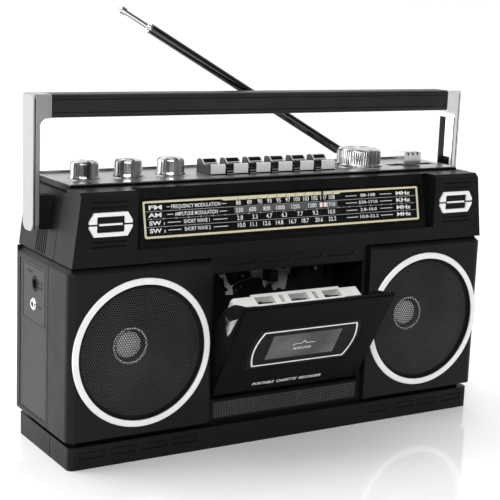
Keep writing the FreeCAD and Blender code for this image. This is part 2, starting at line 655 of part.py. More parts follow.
def tuner_block():
    profile = [(0.5, TUNER_Z0), (0.5, 173.6), (3.2, LEDGE_Z), (DECK_Y0 - 0.1, LEDGE_Z),
               (DECK_Y0 - 0.1, SHOULDER_Z), (DECK_Y1 + 1.2, SHOULDER_Z), (DECK_Y1 + 1.2, 176.0),
               (81.0, 176.0), (DEPTH - 0.5, 169.5), (DEPTH - 0.5, TUNER_Z0)]
    block = prism_x(profile, -HALF_W, HALF_W)
    cheeks = prism_y([(-TUNER_HALF_BOTTOM, TUNER_Z0), (TUNER_HALF_BOTTOM, TUNER_Z0),
                      (TUNER_HALF_TOP, LEDGE_Z + 1), (-TUNER_HALF_TOP, LEDGE_Z + 1)], -1, DEPTH + 1)
    return block.common(cheeks)


def arm_boss():
    """Raised housing on the tuner's side that carries the handle's pivot."""
    outline = [(42.6, 147.5), (58.6, 147.5), (58.6, 162.0), (54.5, 168.5), (46.7, 168.5), (42.6, 162.0)]
    return prism_x(outline, 155.0, ARM_IN - 0.4)


def tuner_shell():
    shell = tuner_block()
    # Dial area: everything in front of the leaning panel is open.
    front = [(-2, DIAL_Z), (DIAL_Y, DIAL_Z), (DIAL_Y + 38 * math.tan(math.radians(DIAL_LEAN)), DIAL_Z + 38),
             (-2, DIAL_Z + 38)]
    shell = shell.cut(prism_x(front, -DIAL_PANEL_HALF, DIAL_PANEL_HALF))
    for sign in (-1, 1):
        flank = prism_z([(sign * 111.8, -0.1), (sign * 117.0, -0.1), (sign * 117.0, 4.6)], 0, 38)
        shell = shell.cut(on_dial(flank))
    recess = box(-111.4, 111.4, -1, DIAL_RECESS + 1.2, 3.3, 31.6)
    recess = soften(recess, 3.0, lambda m, a: abs(a.y) > 0.9)
    shell = shell.cut(on_dial(recess))
    # Inside.
    shell = shell.cut(on_dial(box(-115, 115, 6.4, 22, 2.5, 34.5)))
    shell = shell.cut(box(-150, 150, 19, 85, TUNER_Z0 + WALL, SHOULDER_Z - WALL))
    for sign in (-1, 1):
        near = sign * 120.0
        far = sign * 150.0
        shell = shell.cut(box(min(near, far), max(near, far), 3.2, 20, 141, SHOULDER_Z))
    # Slot for the pointer's foot, above the scale.
    slot = box(POINTER_LOW - 1.2, POINTER_HIGH + 1.2, 3.0, 8.0, 29.9, 31.3)
    shell = shell.cut(on_dial(slot))
    # Deck openings, handle bosses, side ribs, seams and the grooves on the end blocks.
    shell = shell.cut(box(-148, 148, 27, 71.5, SHOULDER_Z - 5, SHOULDER_Z + 0.5))
    shell = shell.cut(rod_z(ANT_X, ANT_Y, 3.7, SHOULDER_Z - 6, SHOULDER_Z + 1))
    shell = fuse(shell, *both_sides(arm_boss()))
    for sign in (-1, 1):
        bore = rod_x(PIVOT_Y, PIVOT_Z, PIVOT_R + SHAFT_GAP, 157.0, 170.0)
        shell = shell.cut(bore if sign > 0 else mirror_x(bore))
        for i in range(6):
            y = 43.4 + 2.9 * i
            rib = prism_x([(y, 131.0), (y + 1.4, 131.0), (y + 1.4, 146.5), (y, 146.5)], 158.4, 163.0)
            shell = shell.cut(rib if sign > 0 else mirror_x(rib))
        seam = box(154.0, 163.0, 28.9, 29.4, 129.0, 178.0).cut(tuner_core())
        shell = shell.cut(seam if sign > 0 else mirror_x(seam))
        for z in (166.6, 169.9, 142.2, 145.3):
            groove = box(sign * 136.4 - 12.0, sign * 136.4 + 12.0, 0, 1.3, z, z + 1.1)
            shell = shell.cut(groove)
        shell = shell.cut(emblem_seat(sign * EMBLEM_X))
    return shell


def tuner_core():
    """The tuner block without its outer 0.5 mm, used to keep the seam grooves shallow."""
    return prism_y([(-TUNER_HALF_BOTTOM + 0.5, 120.0), (TUNER_HALF_BOTTOM - 0.5, TUNER_Z0),
                    (TUNER_HALF_TOP - 0.5, LEDGE_Z + 1), (-TUNER_HALF_TOP + 0.5, LEDGE_Z + 1)], -1, DEPTH + 1)


def octagon(x, z, half_w, half_h, cut_w, cut_h, y0, y1):
    side_h = half_h - cut_h
    side_w = half_w - cut_w
    corners = [(-half_w, -side_h), (-side_w, -half_h), (side_w, -half_h), (half_w, -side_h),
               (half_w, side_h), (side_w, half_h), (-side_w, half_h), (-half_w, side_h)]
    return prism_y([(x + dx, z + dz) for dx, dz in corners], y0, y1)


def emblem_seat(x):
    return octagon(x, EMBLEM_Z, 14.9, 7.9, 3.4, 5.6, -1, 1.4)


def emblem(x):
    """Bright split bezel round a sunk tweeter-like insert, with one crossbar."""
    plate = octagon(x, EMBLEM_Z, 14.6, 7.5, 3.3, 5.4, -0.4, 1.4)
    window = octagon(x, EMBLEM_Z, 9.4, 5.0, 0.7, 0.7, -1, 0.8)
    bezel = plate.cut(window)
    for sign in (-1, 1):
        near = x + sign * 9.0
        far = x + sign * 16.0
        bezel = bezel.cut(box(min(near, far), max(near, far), -1, 0.5, EMBLEM_Z - 0.5, EMBLEM_Z + 0.5))
    bar = box(x - 7.8, x + 7.8, -0.2, 1.0, EMBLEM_Z - 0.6, EMBLEM_Z + 0.6)
    return fuse(bezel, bar)


def dial_scale():
    """Scale plate with the raised border round its print."""
    plate = box(-110.6, 110.6, DIAL_RECESS, DIAL_RECESS + 1.0, DIAL_T0 - 1.7, DIAL_T1 + 0.4)
    plate = soften(plate, 2.6, lambda m, a: abs(a.y) > 0.9)
    border = box(-DIAL_HALF, DIAL_HALF, DIAL_RECESS - 0.35, DIAL_RECESS, DIAL_T0, DIAL_T1)
    border = soften(border, 1.4, lambda m, a: abs(a.y) > 0.9)
    inside = box(-DIAL_HALF + 1.1, DIAL_HALF - 1.1, DIAL_RECESS - 2, DIAL_RECESS,
                 DIAL_T0 + 1.1, DIAL_T1 - 1.1)
    return on_dial(fuse(plate, border.cut(inside)))


def dial_window():
    pane = box(-111.2, 111.2, 0.5, 1.6, 3.5, 31.4)
    pane = soften(pane, 2.8, lambda m, a: abs(a.y) > 0.9)
    return on_dial(pane)


def dial_pointer():
    """Narrow blade that ends in a flag over the second band, carried from behind the panel."""
    blade = box(POINTER_X - 0.55, POINTER_X + 0.55, 1.85, 2.4, 18.6, 30.9)
    flag = box(POINTER_X - 2.9, POINTER_X + 2.9, 1.85, 2.4, 18.6, 21.9)
    foot = box(POINTER_X - 0.55, POINTER_X + 0.55, 1.85, 9.5, 30.2, 30.9)
    carriage = box(POINTER_X - 4.0, POINTER_X + 4.0, 7.0, 9.5, 27.0, 30.9)
    return on_dial(fuse(blade, flag, foot, carriage))


# ---------------------------------------------------------------- control deck

def deck_holes(z0, z1):
    """Openings that go through the deck: knob shafts, key bed, selector slot and antenna post."""
    holes = [rod_z(x, y, SHAFT_R + 0.8, z0, z1) for x, y in KNOB_XY.values()]
    holes.append(rod_z(TUNING_XY[0], TUNING_XY[1], SHAFT_R + 0.8, z0, z1))
    bed_x0 = KEY_X0 - KEY_WIDTH / 2 - KEY_SIDE_GAP
    bed_x1 = KEY_X0 + KEY_PITCH * 5 + KEY_WIDTH / 2 + KEY_SIDE_GAP
    holes.append(box(bed_x0, bed_x1, KEY_Y0 - 2.2, KEY_HOLE_Y1, z0, z1))
    slot_end = SWITCH_X + SWITCH_NECK + SWITCH_TRAVEL + 2.0
    holes.append(box(106.0, slot_end, SWITCH_Y - 4.0, SWITCH_Y + 4.0, z0, z1))
    holes.append(rod_z(ANT_X, ANT_Y, 3.7, z0, z1))
    return holes


def deck_rim():
    rim = box(-DECK_HALF, DECK_HALF, DECK_Y0, DECK_Y1, SHOULDER_Z, DECK_TOP - PLATE_T)
    for hole in deck_holes(SHOULDER_Z - 1, DECK_TOP):
        rim = rim.cut(hole)
    return rim


def deck_plate():
    plate = box(-DECK_HALF + 0.3, DECK_HALF - 0.3, DECK_Y0 + 0.3, DECK_Y1, DECK_TOP - PLATE_T, DECK_TOP)
    lip = box(-DECK_HALF + 0.3, DECK_HALF - 0.3, DECK_Y1 - 1.0, DECK_Y1, DECK_TOP - PLATE_T, DECK_TOP + 1.5)
    dishes = []
    for x, y in KNOB_XY.values():
        dishes.append(cone_z(x, y, 13.0, 11.6, DECK_TOP - 0.1, DECK_TOP + 0.6))
    dishes.append(cone_z(TUNING_XY[0], TUNING_XY[1], 18.6, 17.6, DECK_TOP - 0.1, DECK_TOP + 0.6))
    plate = fuse(plate, lip, *dishes)
    for x, y in KNOB_XY.values():
        plate = plate.cut(rod_z(x, y, 10.2, DECK_TOP + 0.1, DECK_TOP + 1))
    plate = plate.cut(rod_z(TUNING_XY[0], TUNING_XY[1], 17.2, DECK_TOP + 0.1, DECK_TOP + 1))
    for hole in deck_holes(DECK_TOP - 2, DECK_TOP + 3):
        plate = plate.cut(hole)
    return plate.cut(rod_z(ANT_X, ANT_Y, 4.6, DECK_TOP, DECK_TOP + 3))


def small_knob(name):
    x, y = KNOB_XY[name]
    z0 = DECK_TOP + 0.6
    z1 = z0 + KNOB_H
    cap = rod_z(x, y, KNOB_R, z0, z1)
    cap = soften(cap, 1.2, lambda m, a: m.z > z1 - 0.1)
    skirt = cone_z(x, y, KNOB_R + 0.8, KNOB_R, z0, z0 + 1.6)
    knob = fuse(cap, skirt, rod_z(x, y, SHAFT_R, 157.5, z0 + 0.1))
    return knob.cut(box(x - 0.4, x + 0.4, y - KNOB_R, y - 2.5, z1 - 0.6, z1 + 1))


def tuning_knob():
    """Big knob with a skirt, its shaft and the dial cord's drum under the deck."""
    x, y = TUNING_XY
    z0 = DECK_TOP + 0.5
    z1 = z0 + TUNING_H
    grip = rod_z(x, y, TUNING_R, z0, z1 - 1.4)
    crown = cone_z(x, y, TUNING_R - 0.6, TUNING_R - 3.2, z1 - 1.4, z1)
    skirt = rod_z(x, y, TUNING_R + 1.0, z0, z0 + 1.5)
    drum = rod_z(x, y, DRUM_R, 163.5, 166.5)
    drum = drum.cut(rod_z(x, y, DRUM_R + 1, 164.4, 165.6).cut(rod_z(x, y, DRUM_R - 1.0, 164, 166)))
    return fuse(grip, crown, skirt, drum, rod_z(x, y, SHAFT_R, 155.0, z0 + 0.1))


def band_switch():
    """Selector lever: ribbed cap above the deck, neck through the slot and slider below."""
    z0 = DECK_TOP + 0.4
    cap = box(SWITCH_X - 7.5, SWITCH_X + 7.5, SWITCH_Y - 6.0, SWITCH_Y + 6.0, z0, z0 + 9.4)
    cap = bevel(cap, 1.0, lambda m, a: m.z > z0 + 9.3)
    for i in range(3):
        x = SWITCH_X - 4.2 + 4.2 * i
        cap = cap.cut(box(x - 0.7, x + 0.7, SWITCH_Y - 7, SWITCH_Y + 7, z0 + 6.4, z0 + 10))
    neck = box(SWITCH_X - SWITCH_NECK, SWITCH_X + SWITCH_NECK, SWITCH_Y - 3.4, SWITCH_Y + 3.4,
               166.0, z0 + 0.1)
    return fuse(cap, neck)


def key_middle(i):
    return KEY_X0 + KEY_PITCH * i


def piano_key(i):
    """One key: upright front face, dished top, raised rear hump, and its arm back to the axle."""
    x = key_middle(i)
    outline = [(KEY_Y0, 175.5), (KEY_Y0, 184.7), (35.8, 185.4), (39.5, 184.6), (43.5, 184.2), (45.5, 184.7),
               (47.3, 186.8), (48.7, 187.5), (52.0, 187.5), (54.3, 186.2), (54.8, 175.5), (54.8, 172.4),
               (66.0, 171.0), (67.3, 168.5), (66.0, 166.1), (62.5, 166.0), (46.0, 172.5)]
    key = prism_x(outline, x - KEY_WIDTH / 2, x + KEY_WIDTH / 2)
    return key.cut(rod_x(KEY_AXLE_Y, KEY_AXLE_Z, KEY_AXLE_R + SHAFT_GAP, x - 10, x + 10))


def key_bed():
    """Dividers between the keys and two low ends, tied by a front and a rear bar, with the keys' axle."""
    wall_y1 = KEY_HOLE_Y1 - 1.4
    outline = [(34.0, 164.5), (34.0, 182.0), (wall_y1, 182.0), (wall_y1, 172.8), (69.5, 172.8), (69.5, 164.5)]
    bars = [box(key_middle(0) - 11.4, key_middle(5) + 11.4, 33.6, 36.0, 162.0, 169.5),
            box(key_middle(0) - 11.4, key_middle(5) + 11.4, 69.0, 71.0, 162.0, 172.8)]
    walls = []
    for i in range(1, 6):
        x = key_middle(i) - KEY_PITCH / 2
        walls.append(prism_x(outline, x - 2.5, x + 2.5))
    low_end = [(34.0, 164.5), (34.0, 172.8), (69.5, 172.8), (69.5, 164.5)]
    for x in (key_middle(0) - KEY_PITCH / 2, key_middle(5) + KEY_PITCH / 2):
        walls.append(prism_x(low_end, x - 2.5, x + 2.5))
    axle = rod_x(KEY_AXLE_Y, KEY_AXLE_Z, KEY_AXLE_R, key_middle(0) - 11.0, key_middle(5) + 11.0)
    return fuse(*bars, *walls, axle)


def main_board():
    """Circuit board with the three potentiometers, the tuning capacitor and larger components."""
    board = box(-145, 145, 25, 78, 150.0, 151.6)
    parts = []
    for x, y in KNOB_XY.values():
        pot = box(x - 8, x + 8, y - 8, y + 8, 151.5, 168)
        parts.append(pot.cut(rod_z(x, y, SHAFT_R + SHAFT_GAP, 156.5, 170)))
    x, y = TUNING_XY
    block = box(x - 10, x + 10, y - 10, y + 10, 151.5, 162)
    parts.append(block.cut(rod_z(x, y, SHAFT_R + SHAFT_GAP, 154.0, 170)))
    parts.append(box(104, 144, SWITCH_Y - 6, SWITCH_Y + 6, 151.5, 164.0))
    for i in range(5):
        parts.append(rod_z(-40 + 14 * i, 52, 3.6, 151.5, 160.5))
    return fuse(board, *parts)


# ---------------------------------------------------------------- handle

def handle_arm():
    """Right arm: flat bar with a turned-in top corner, rounded foot and inward pivot pin."""
    outline = [(ARM_IN, ARM_Z0), (ARM_OUT, ARM_Z0), (ARM_OUT, HANDLE_TOP), (GRIP_HALF, HANDLE_TOP),
               (GRIP_HALF, GRIP_BOTTOM), (ARM_IN, GRIP_BOTTOM)]
    arm = prism_y(outline, ARM_Y0, ARM_Y1)
    arm = soften(arm, 5.5, lambda m, a: abs(a.y) > 0.9 and abs(m.x - ARM_IN) < 0.1 and m.z > 200)
    arm = soften(arm, 1.6, lambda m, a: abs(a.y) > 0.9 and m.x > ARM_OUT - 0.1 and m.z > 230)
    arm = soften(arm, 6.0, lambda m, a: abs(a.x) > 0.9 and m.z < ARM_Z0 + 0.1)
    groove = box(168.0, 168.5, ARM_Y0 - 1, ARM_Y0 + 0.7, ARM_Z0 - 1, HANDLE_TOP - 2)
    pin = rod_x(PIVOT_Y, PIVOT_Z, PIVOT_R, 158.0, ARM_IN + 0.1)
    return fuse(arm.cut(groove), pin)


def handle_grip():
    """Grip bar with rounded long edges and two grooves along its front and back."""
    grip = box(-GRIP_HALF, GRIP_HALF, ARM_Y0, ARM_Y1, GRIP_BOTTOM, HANDLE_TOP)
    grip = soften(grip, 2.2, lambda m, a: abs(a.x) > 0.9)
    for z in (GRIP_BOTTOM + 3.0, HANDLE_TOP - 3.6):
        grip = grip.cut(box(-GRIP_HALF - 1, GRIP_HALF + 1, ARM_Y0 - 1, ARM_Y0 + 0.5, z, z + 0.6))
        grip = grip.cut(box(-GRIP_HALF - 1, GRIP_HALF + 1, ARM_Y1 - 0.5, ARM_Y1 + 1, z, z + 0.6))
    return grip


# ---------------------------------------------------------------- antenna

def antenna_yoke():
    """Swivel post with a collar and two ears that hold the antenna's hinge pin."""
    post = rod_z(ANT_X, ANT_Y, 3.6, 168.0, DECK_TOP + 0.6)
    collar = rod_z(ANT_X, ANT_Y, 4.2, DECK_TOP + 0.6, DECK_TOP + 2.1)
    ear = fuse(rod_y(0, 0, 3.0, 1.4, 3.2), box(-3.0, 3.0, 1.4, 3.2, -4.2, 0))
    ear.translate(Vec(ANT_X, ANT_Y, ANT_Z))
    far_ear = ear.copy()
    far_ear.translate(Vec(0, -4.6, 0))
    pin = rod_y(ANT_X, ANT_Z, 1.0, ANT_Y - 3.0, ANT_Y + 3.0)
    return fuse(post, collar, ear, far_ear, pin)


def antenna_pipe(r_out, r_in, d0, d1):
    """Tube along the antenna, from d0 to d1 from the pivot."""
    pipe = rod_x(0, 0, r_out, -d1, -d0)
    return pipe.cut(rod_x(0, 0, r_in, -d1 - 1, -d0 + 1))


def antenna_tube():
    """Outer tube, closed at its foot, with the flat tongue that turns on the yoke's pin."""
    pipe = rod_x(0, 0, 3.4, -ANT_TUBE_END, -6.5)
    pipe = pipe.cut(rod_x(0, 0, 3.0, -ANT_TUBE_END - 1, -9.0))
    tongue = fuse(box(-7.0, 0, -1.1, 1.1, -2.6, 2.6), rod_y(0, 0, 2.6, -1.1, 1.1))
    tongue = tongue.cut(rod_y(0, 0, 1.05, -5, 5))
    return on_antenna(fuse(pipe, tongue))


def antenna_middle():
    """Middle section, stored almost wholly inside the outer tube."""
    pipe = antenna_pipe(2.95, 2.1, 16.0, ANT_TUBE_END + 2.0)
    return on_antenna(pipe)


def antenna_rod():
    """Inner rod with a small bead at its end."""
    rod = rod_x(0, 0, 2.04, -ANT_TIP_END + 4.5, -40.0)
    bead = rod_x(0, 0, 3.0, -ANT_TIP_END, -ANT_TIP_END + 4.5)
    bead = soften(bead, 1.1, lambda m, a: m.x < -ANT_TIP_END + 0.1)
    return on_antenna(fuse(rod, bead))


# ---------------------------------------------------------------- write the parts

def all_parts():
    parts = {
        "base_tray": base_tray(),
        "front_shell": front_shell(),
        "bay_frame": bay_frame(),
        "mid_shell": mid_shell(),
        "back_cover": back_cover(),
        "battery_door": battery_door(),
        "back_screws": back_screws(),
        "left_side_panel": left_side_panel(),
        "right_side_panel": side_panel(),
        "dc_socket": dc_socket(),
        "phone_socket": phone_socket(),
        "cassette_door": cassette_door(),
        "door_window": door_window(),
        "cassette_holder": cassette_holder(),
        "holder_springs": holder_springs(),
        "cassette_shell": cassette_shell(),
        "supply_hub": tape_hub(-HUB_X),
        "takeup_hub": tape_hub(HUB_X),
        "mech_plate": mech_plate(),
        "head_bridge": head_bridge(),
        "pinch_roller": pinch_roller(),
        "capstan": capstan(),
        "motor": motor(),
        "motor_pulley": motor_pulley(),
        "drive_belt": drive_belt(),
        "supply_spindle": spindle(-HUB_X),
        "takeup_spindle": spindle(HUB_X),
        "tuner_shell": tuner_shell(),
        "dial_scale": dial_scale(),
        "dial_window": dial_window(),
        "dial_pointer": dial_pointer(),
        "emblems": Part.makeCompound([emblem(-EMBLEM_X), emblem(EMBLEM_X)]),
        "deck_rim": deck_rim(),
        "deck_plate": deck_plate(),
        "tuning_knob": tuning_knob(),
        "band_switch": band_switch(),
        "key_bed": key_bed(),
        "main_board": main_board(),
        "handle_grip": handle_grip(),
        "right_handle_arm": handle_arm(),
        "left_handle_arm": mirror_x(handle_arm()),
        "antenna_yoke": antenna_yoke(),
        "antenna_tube": antenna_tube(),
        "antenna_middle": antenna_middle(),
        "antenna_rod": antenna_rod(),
    }
    for side, sign in (("left", -1), ("right", 1)):
        parts[side + "_speaker_ring"] = speaker_ring(sign * SPEAKER_X)
        parts[side + "_grille"] = speaker_grille(sign * SPEAKER_X)
        parts[side + "_speaker"] = speaker(sign * SPEAKER_X)
    for name in KNOB_XY:
        parts[name] = small_knob(name)
    for i, name in enumerate(KEY_NAMES):
        parts[name] = piano_key(i)
    return parts


def main():
    os.makedirs("parts", exist_ok=True)
    parts = all_parts()
    for name, shape in parts.items():
        shape = shape.copy()
        shape.translate(Vec(0, -DEPTH / 2, 0))
        shape.exportStep("parts/%s.step" % name)
        print(name, "solids", len(shape.Solids), "valid", shape.isValid(), "volume", round(shape.Volume))
    print(len(parts), "parts")


main()
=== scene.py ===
import bmesh
import bpy
import json
import math
from mathutils import Matrix, Vector


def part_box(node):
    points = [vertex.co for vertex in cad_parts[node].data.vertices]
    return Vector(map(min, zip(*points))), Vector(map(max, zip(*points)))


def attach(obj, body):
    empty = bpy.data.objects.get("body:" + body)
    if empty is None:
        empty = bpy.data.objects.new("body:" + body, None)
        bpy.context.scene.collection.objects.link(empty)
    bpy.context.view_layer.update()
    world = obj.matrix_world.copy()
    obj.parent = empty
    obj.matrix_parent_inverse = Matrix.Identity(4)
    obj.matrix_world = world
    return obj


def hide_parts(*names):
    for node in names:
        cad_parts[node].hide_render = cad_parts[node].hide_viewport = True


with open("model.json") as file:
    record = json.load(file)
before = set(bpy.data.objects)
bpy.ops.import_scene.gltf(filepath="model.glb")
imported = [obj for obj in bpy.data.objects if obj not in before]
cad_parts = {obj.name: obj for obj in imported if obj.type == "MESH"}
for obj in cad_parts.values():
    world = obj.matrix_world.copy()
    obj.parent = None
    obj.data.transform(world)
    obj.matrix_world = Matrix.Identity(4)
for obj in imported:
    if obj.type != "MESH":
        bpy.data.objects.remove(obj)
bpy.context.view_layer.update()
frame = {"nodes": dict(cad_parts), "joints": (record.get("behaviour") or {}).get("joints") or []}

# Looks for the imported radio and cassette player. Lengths below are in millimetres in the row frame
# unless a name ends in _M; the helpers turn them into metres.

NODES = frame["nodes"]
MM = 0.001
FRONT_SHIFT = 44.0      # from the speakers' front plane back to the row frame's origin
KEY_X0 = -41.3          # middle of the first key
KEY_PITCH = 17.74


# ---------------------------------------------------------------- places read from the frame

def node_box(name):
    """Lowest and highest corner of a CAD node, in millimetres."""
    low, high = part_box(name)
    return low / MM, high / MM


def middle_of(name):
    low, high = node_box(name)
    return (low + high) / 2


def joint_place(name):
    joint = next(j for j in frame["joints"] if j["name"] == name)
    return Vector(joint["pos_m"]) / MM


HINGE = joint_place("door_hinge")
DOOR_OPEN = math.radians(30.5)
DIAL_LEAN = math.radians(12.0)
DIAL_FOOT = Vector((0.0, 3.1 - FRONT_SHIFT, 139.3))


def door_plane():
    """Matrix from (x, depth behind the hinge plane, height above the hinge) to the row frame."""
    return Matrix.Translation(HINGE) @ Matrix.Rotation(DOOR_OPEN, 4, "X")


def dial_plane():
    return Matrix.Translation(DIAL_FOOT) @ Matrix.Rotation(-DIAL_LEAN, 4, "X")


# ---------------------------------------------------------------- materials

class Surface:
    """One procedural material around a Principled shader, in object coordinates."""

    def __init__(self, name, colour, rough, metallic=0.0, specular=0.5, coat=0.0, coat_rough=0.1):
        self.material = bpy.data.materials.new(name)
        self.material.use_nodes = True
        self.tree = self.material.node_tree
        self.shader = self.tree.nodes["Principled BSDF"]
        self.colour = tuple(colour) + (1.0,)
        self.rough = rough
        self.normal = None
        for socket, value in (("Base Color", self.colour), ("Roughness", rough), ("Metallic", metallic),
                              ("Specular IOR Level", specular), ("Coat Weight", coat),
                              ("Coat Roughness", coat_rough)):
            self.shader.inputs[socket].default_value = value
        self.place = self.node("ShaderNodeTexCoord").outputs["Object"]

    def node(self, kind, inputs=None, **settings):
        made = self.tree.nodes.new(kind)
        for key, value in settings.items():
            setattr(made, key, value)
        for key, value in (inputs or {}).items():
            if isinstance(value, bpy.types.NodeSocket):
                self.tree.links.new(value, made.inputs[key])
            else:
                made.inputs[key].default_value = value
        return made

    def stretched(self, scale):
        """Object coordinates multiplied by scale along each axis."""
        return self.node("ShaderNodeMapping", {"Vector": self.place, "Scale": scale}).outputs["Vector"]

    def noise(self, scale, detail=3.0, stretch=(1, 1, 1), rough=0.5):
        where = self.stretched(stretch)
        return self.node("ShaderNodeTexNoise", {"Vector": where, "Scale": scale, "Detail": detail,
                                                "Roughness": rough}).outputs["Fac"]

    def ramp(self, value, low, high, out_low, out_high):
        return self.node("ShaderNodeMapRange", {"Value": value, "From Min": low, "From Max": high,
                                                "To Min": out_low, "To Max": out_high}).outputs["Result"]

    def maths(self, operation, a, b=0.0):
        return self.node("ShaderNodeMath", {0: a, 1: b}, operation=operation).outputs[0]

    def blend_colour(self, amount, first, second):
        mix = self.node("ShaderNodeMix", {"Factor": amount}, data_type="RGBA")
        for slot, value in (("A", first), ("B", second)):
            socket = [s for s in mix.inputs if s.name == slot and s.type == "RGBA"][0]
            if isinstance(value, bpy.types.NodeSocket):
                self.tree.links.new(value, socket)
            else:
                socket.default_value = tuple(value) + (1.0,)
        return [s for s in mix.outputs if s.type == "RGBA"][0]

    def set_colour(self, socket):
        self.tree.links.new(socket, self.shader.inputs["Base Color"])
        return self

    def vary_colour(self, dark, light, scale, stretch=(1, 1, 1), detail=3.0):
        amount = self.ramp(self.noise(scale, detail, stretch), 0.35, 0.65, 0.0, 1.0)
        first = [c * dark for c in self.colour[:3]]
        second = [min(c * light, 1.0) for c in self.colour[:3]]
        return self.set_colour(self.blend_colour(amount, first, second))

    def vary_rough(self, spread, scale, stretch=(1, 1, 1)):
        value = self.ramp(self.noise(scale, 4.0, stretch), 0.3, 0.7, self.rough - spread, self.rough + spread)
        self.tree.links.new(value, self.shader.inputs["Roughness"])
        return self

    def round_edges(self, radius_mm):
        bevel = self.node("ShaderNodeBevel", {"Radius": radius_mm * MM}, samples=6)
        self.normal = bevel.outputs["Normal"]
        self.tree.links.new(self.normal, self.shader.inputs["Normal"])
        return self

    def bump(self, height, depth_mm, strength=1.0):
        bump = self.node("ShaderNodeBump", {"Height": height, "Distance": depth_mm * MM,
                                            "Strength": strength})
        if self.normal is not None:
            self.tree.links.new(self.normal, bump.inputs["Normal"])
        self.normal = bump.outputs["Normal"]
        self.tree.links.new(self.normal, self.shader.inputs["Normal"])
        return self

    def grain(self, size_mm, depth_mm, stretch=(1, 1, 1), detail=2.0):
        return self.bump(self.noise(1.0 / (size_mm * MM), detail, stretch), depth_mm)


def dress(material, *names):
    """Give CAD nodes a material in every slot."""
    for name in names:
        mesh = NODES[name].data
        mesh.materials.clear()
        mesh.materials.append(material)


def moulded(name, level, rough, grain_mm=0.45, grain_depth=0.02, edge=0.5, specular=0.18):
    """Moulded black plastic: fine spark-eroded grain, faint handling marks and softened edges."""
    s = Surface(name, (level, level, level * 1.03), rough, specular=specular)
    s.vary_colour(0.85, 1.2, 35.0)
    s.vary_rough(0.05, 60.0)
    s.round_edges(edge)
    s.grain(grain_mm, grain_depth)
    return s.material


def plated(name, level, rough, edge=0.35, tone=(1.0, 1.0, 1.02)):
    """Bright plating over plastic or steel, with faint ripple and smudges."""
    s = Surface(name, [min(level * t, 1.0) for t in tone], rough, metallic=1.0)
    s.vary_rough(min(rough * 0.5, 0.05), 220.0)
    s.vary_colour(0.96, 1.02, 60.0)
    s.round_edges(edge)
    s.grain(3.5, 0.006)
    return s.material


def brushed(name, level, rough, direction=(1, 60, 60), edge=0.2):
    """Brushed sheet metal with long fine scratches."""
    s = Surface(name, (level, level, level * 1.01), rough, metallic=1.0)
    s.vary_colour(0.82, 1.08, 30.0, direction, 6.0)
    s.vary_rough(rough * 0.35, 40.0, direction)
    s.round_edges(edge)
    s.bump(s.noise(30.0, 6.0, direction), 0.02)
    return s.material


def streaked(name, level, rough):
    """Polished knob side: upright light and dark bands painted into the colour as a painted reflection, as
    turned and fluted chrome shows them.
    """
    s = Surface(name, (level, level, level), rough, metallic=0.9)
    reflection_bands_wide = s.ramp(s.noise(190.0, 2.0, (1, 1, 0.02)), 0.36, 0.62, 0.0, 1.0)
    fine = s.ramp(s.noise(900.0, 2.0, (1, 1, 0.01)), 0.3, 0.7, 0.75, 1.0)
    # dark bands of the painted reflection
    dark = [c * 0.10 for c in s.colour[:3]]
    s.set_colour(s.blend_colour(s.maths("MULTIPLY", reflection_bands_wide, fine), dark, s.colour[:3]))
    s.vary_rough(0.05, 200.0)
    s.round_edges(0.3)
    s.grain(2.5, 0.004)
    return s.material


def painted(name, level):
    """Pale silver paint over moulded trim."""
    s = Surface(name, (level, level, level), 0.35, metallic=0.15)
    s.vary_colour(0.97, 1.01, 120.0)
    s.vary_rough(0.04, 120.0)
    s.round_edges(0.3)
    return s.material


def ring_paint():
    """Silver front face of the speaker rings; their inner wall is coloured near-black, painted shade in the
    gap down to the grille.
    """
    s = Surface("ring_silver_paint", (0.9, 0.9, 0.9), 0.35, metallic=0.1)
    depth = s.node("ShaderNodeSeparateXYZ", {"Vector": s.place}).outputs["Y"]
    front = node_box("left_speaker_ring")[0].y
    # painted shade: near-black on the wall deeper than about 1 mm behind the front face
    behind = s.ramp(depth, (front + 0.9) * MM, (front + 1.1) * MM, 0.0, 1.0)
    mottle = s.ramp(s.noise(120.0), 0.3, 0.7, 0.0, 0.06)
    s.set_colour(s.blend_colour(s.maths("MAXIMUM", behind, mottle), (0.9, 0.9, 0.9), (0.01, 0.01, 0.01)))
    s.vary_rough(0.04, 120.0)
    s.round_edges(0.3)
    return s.material


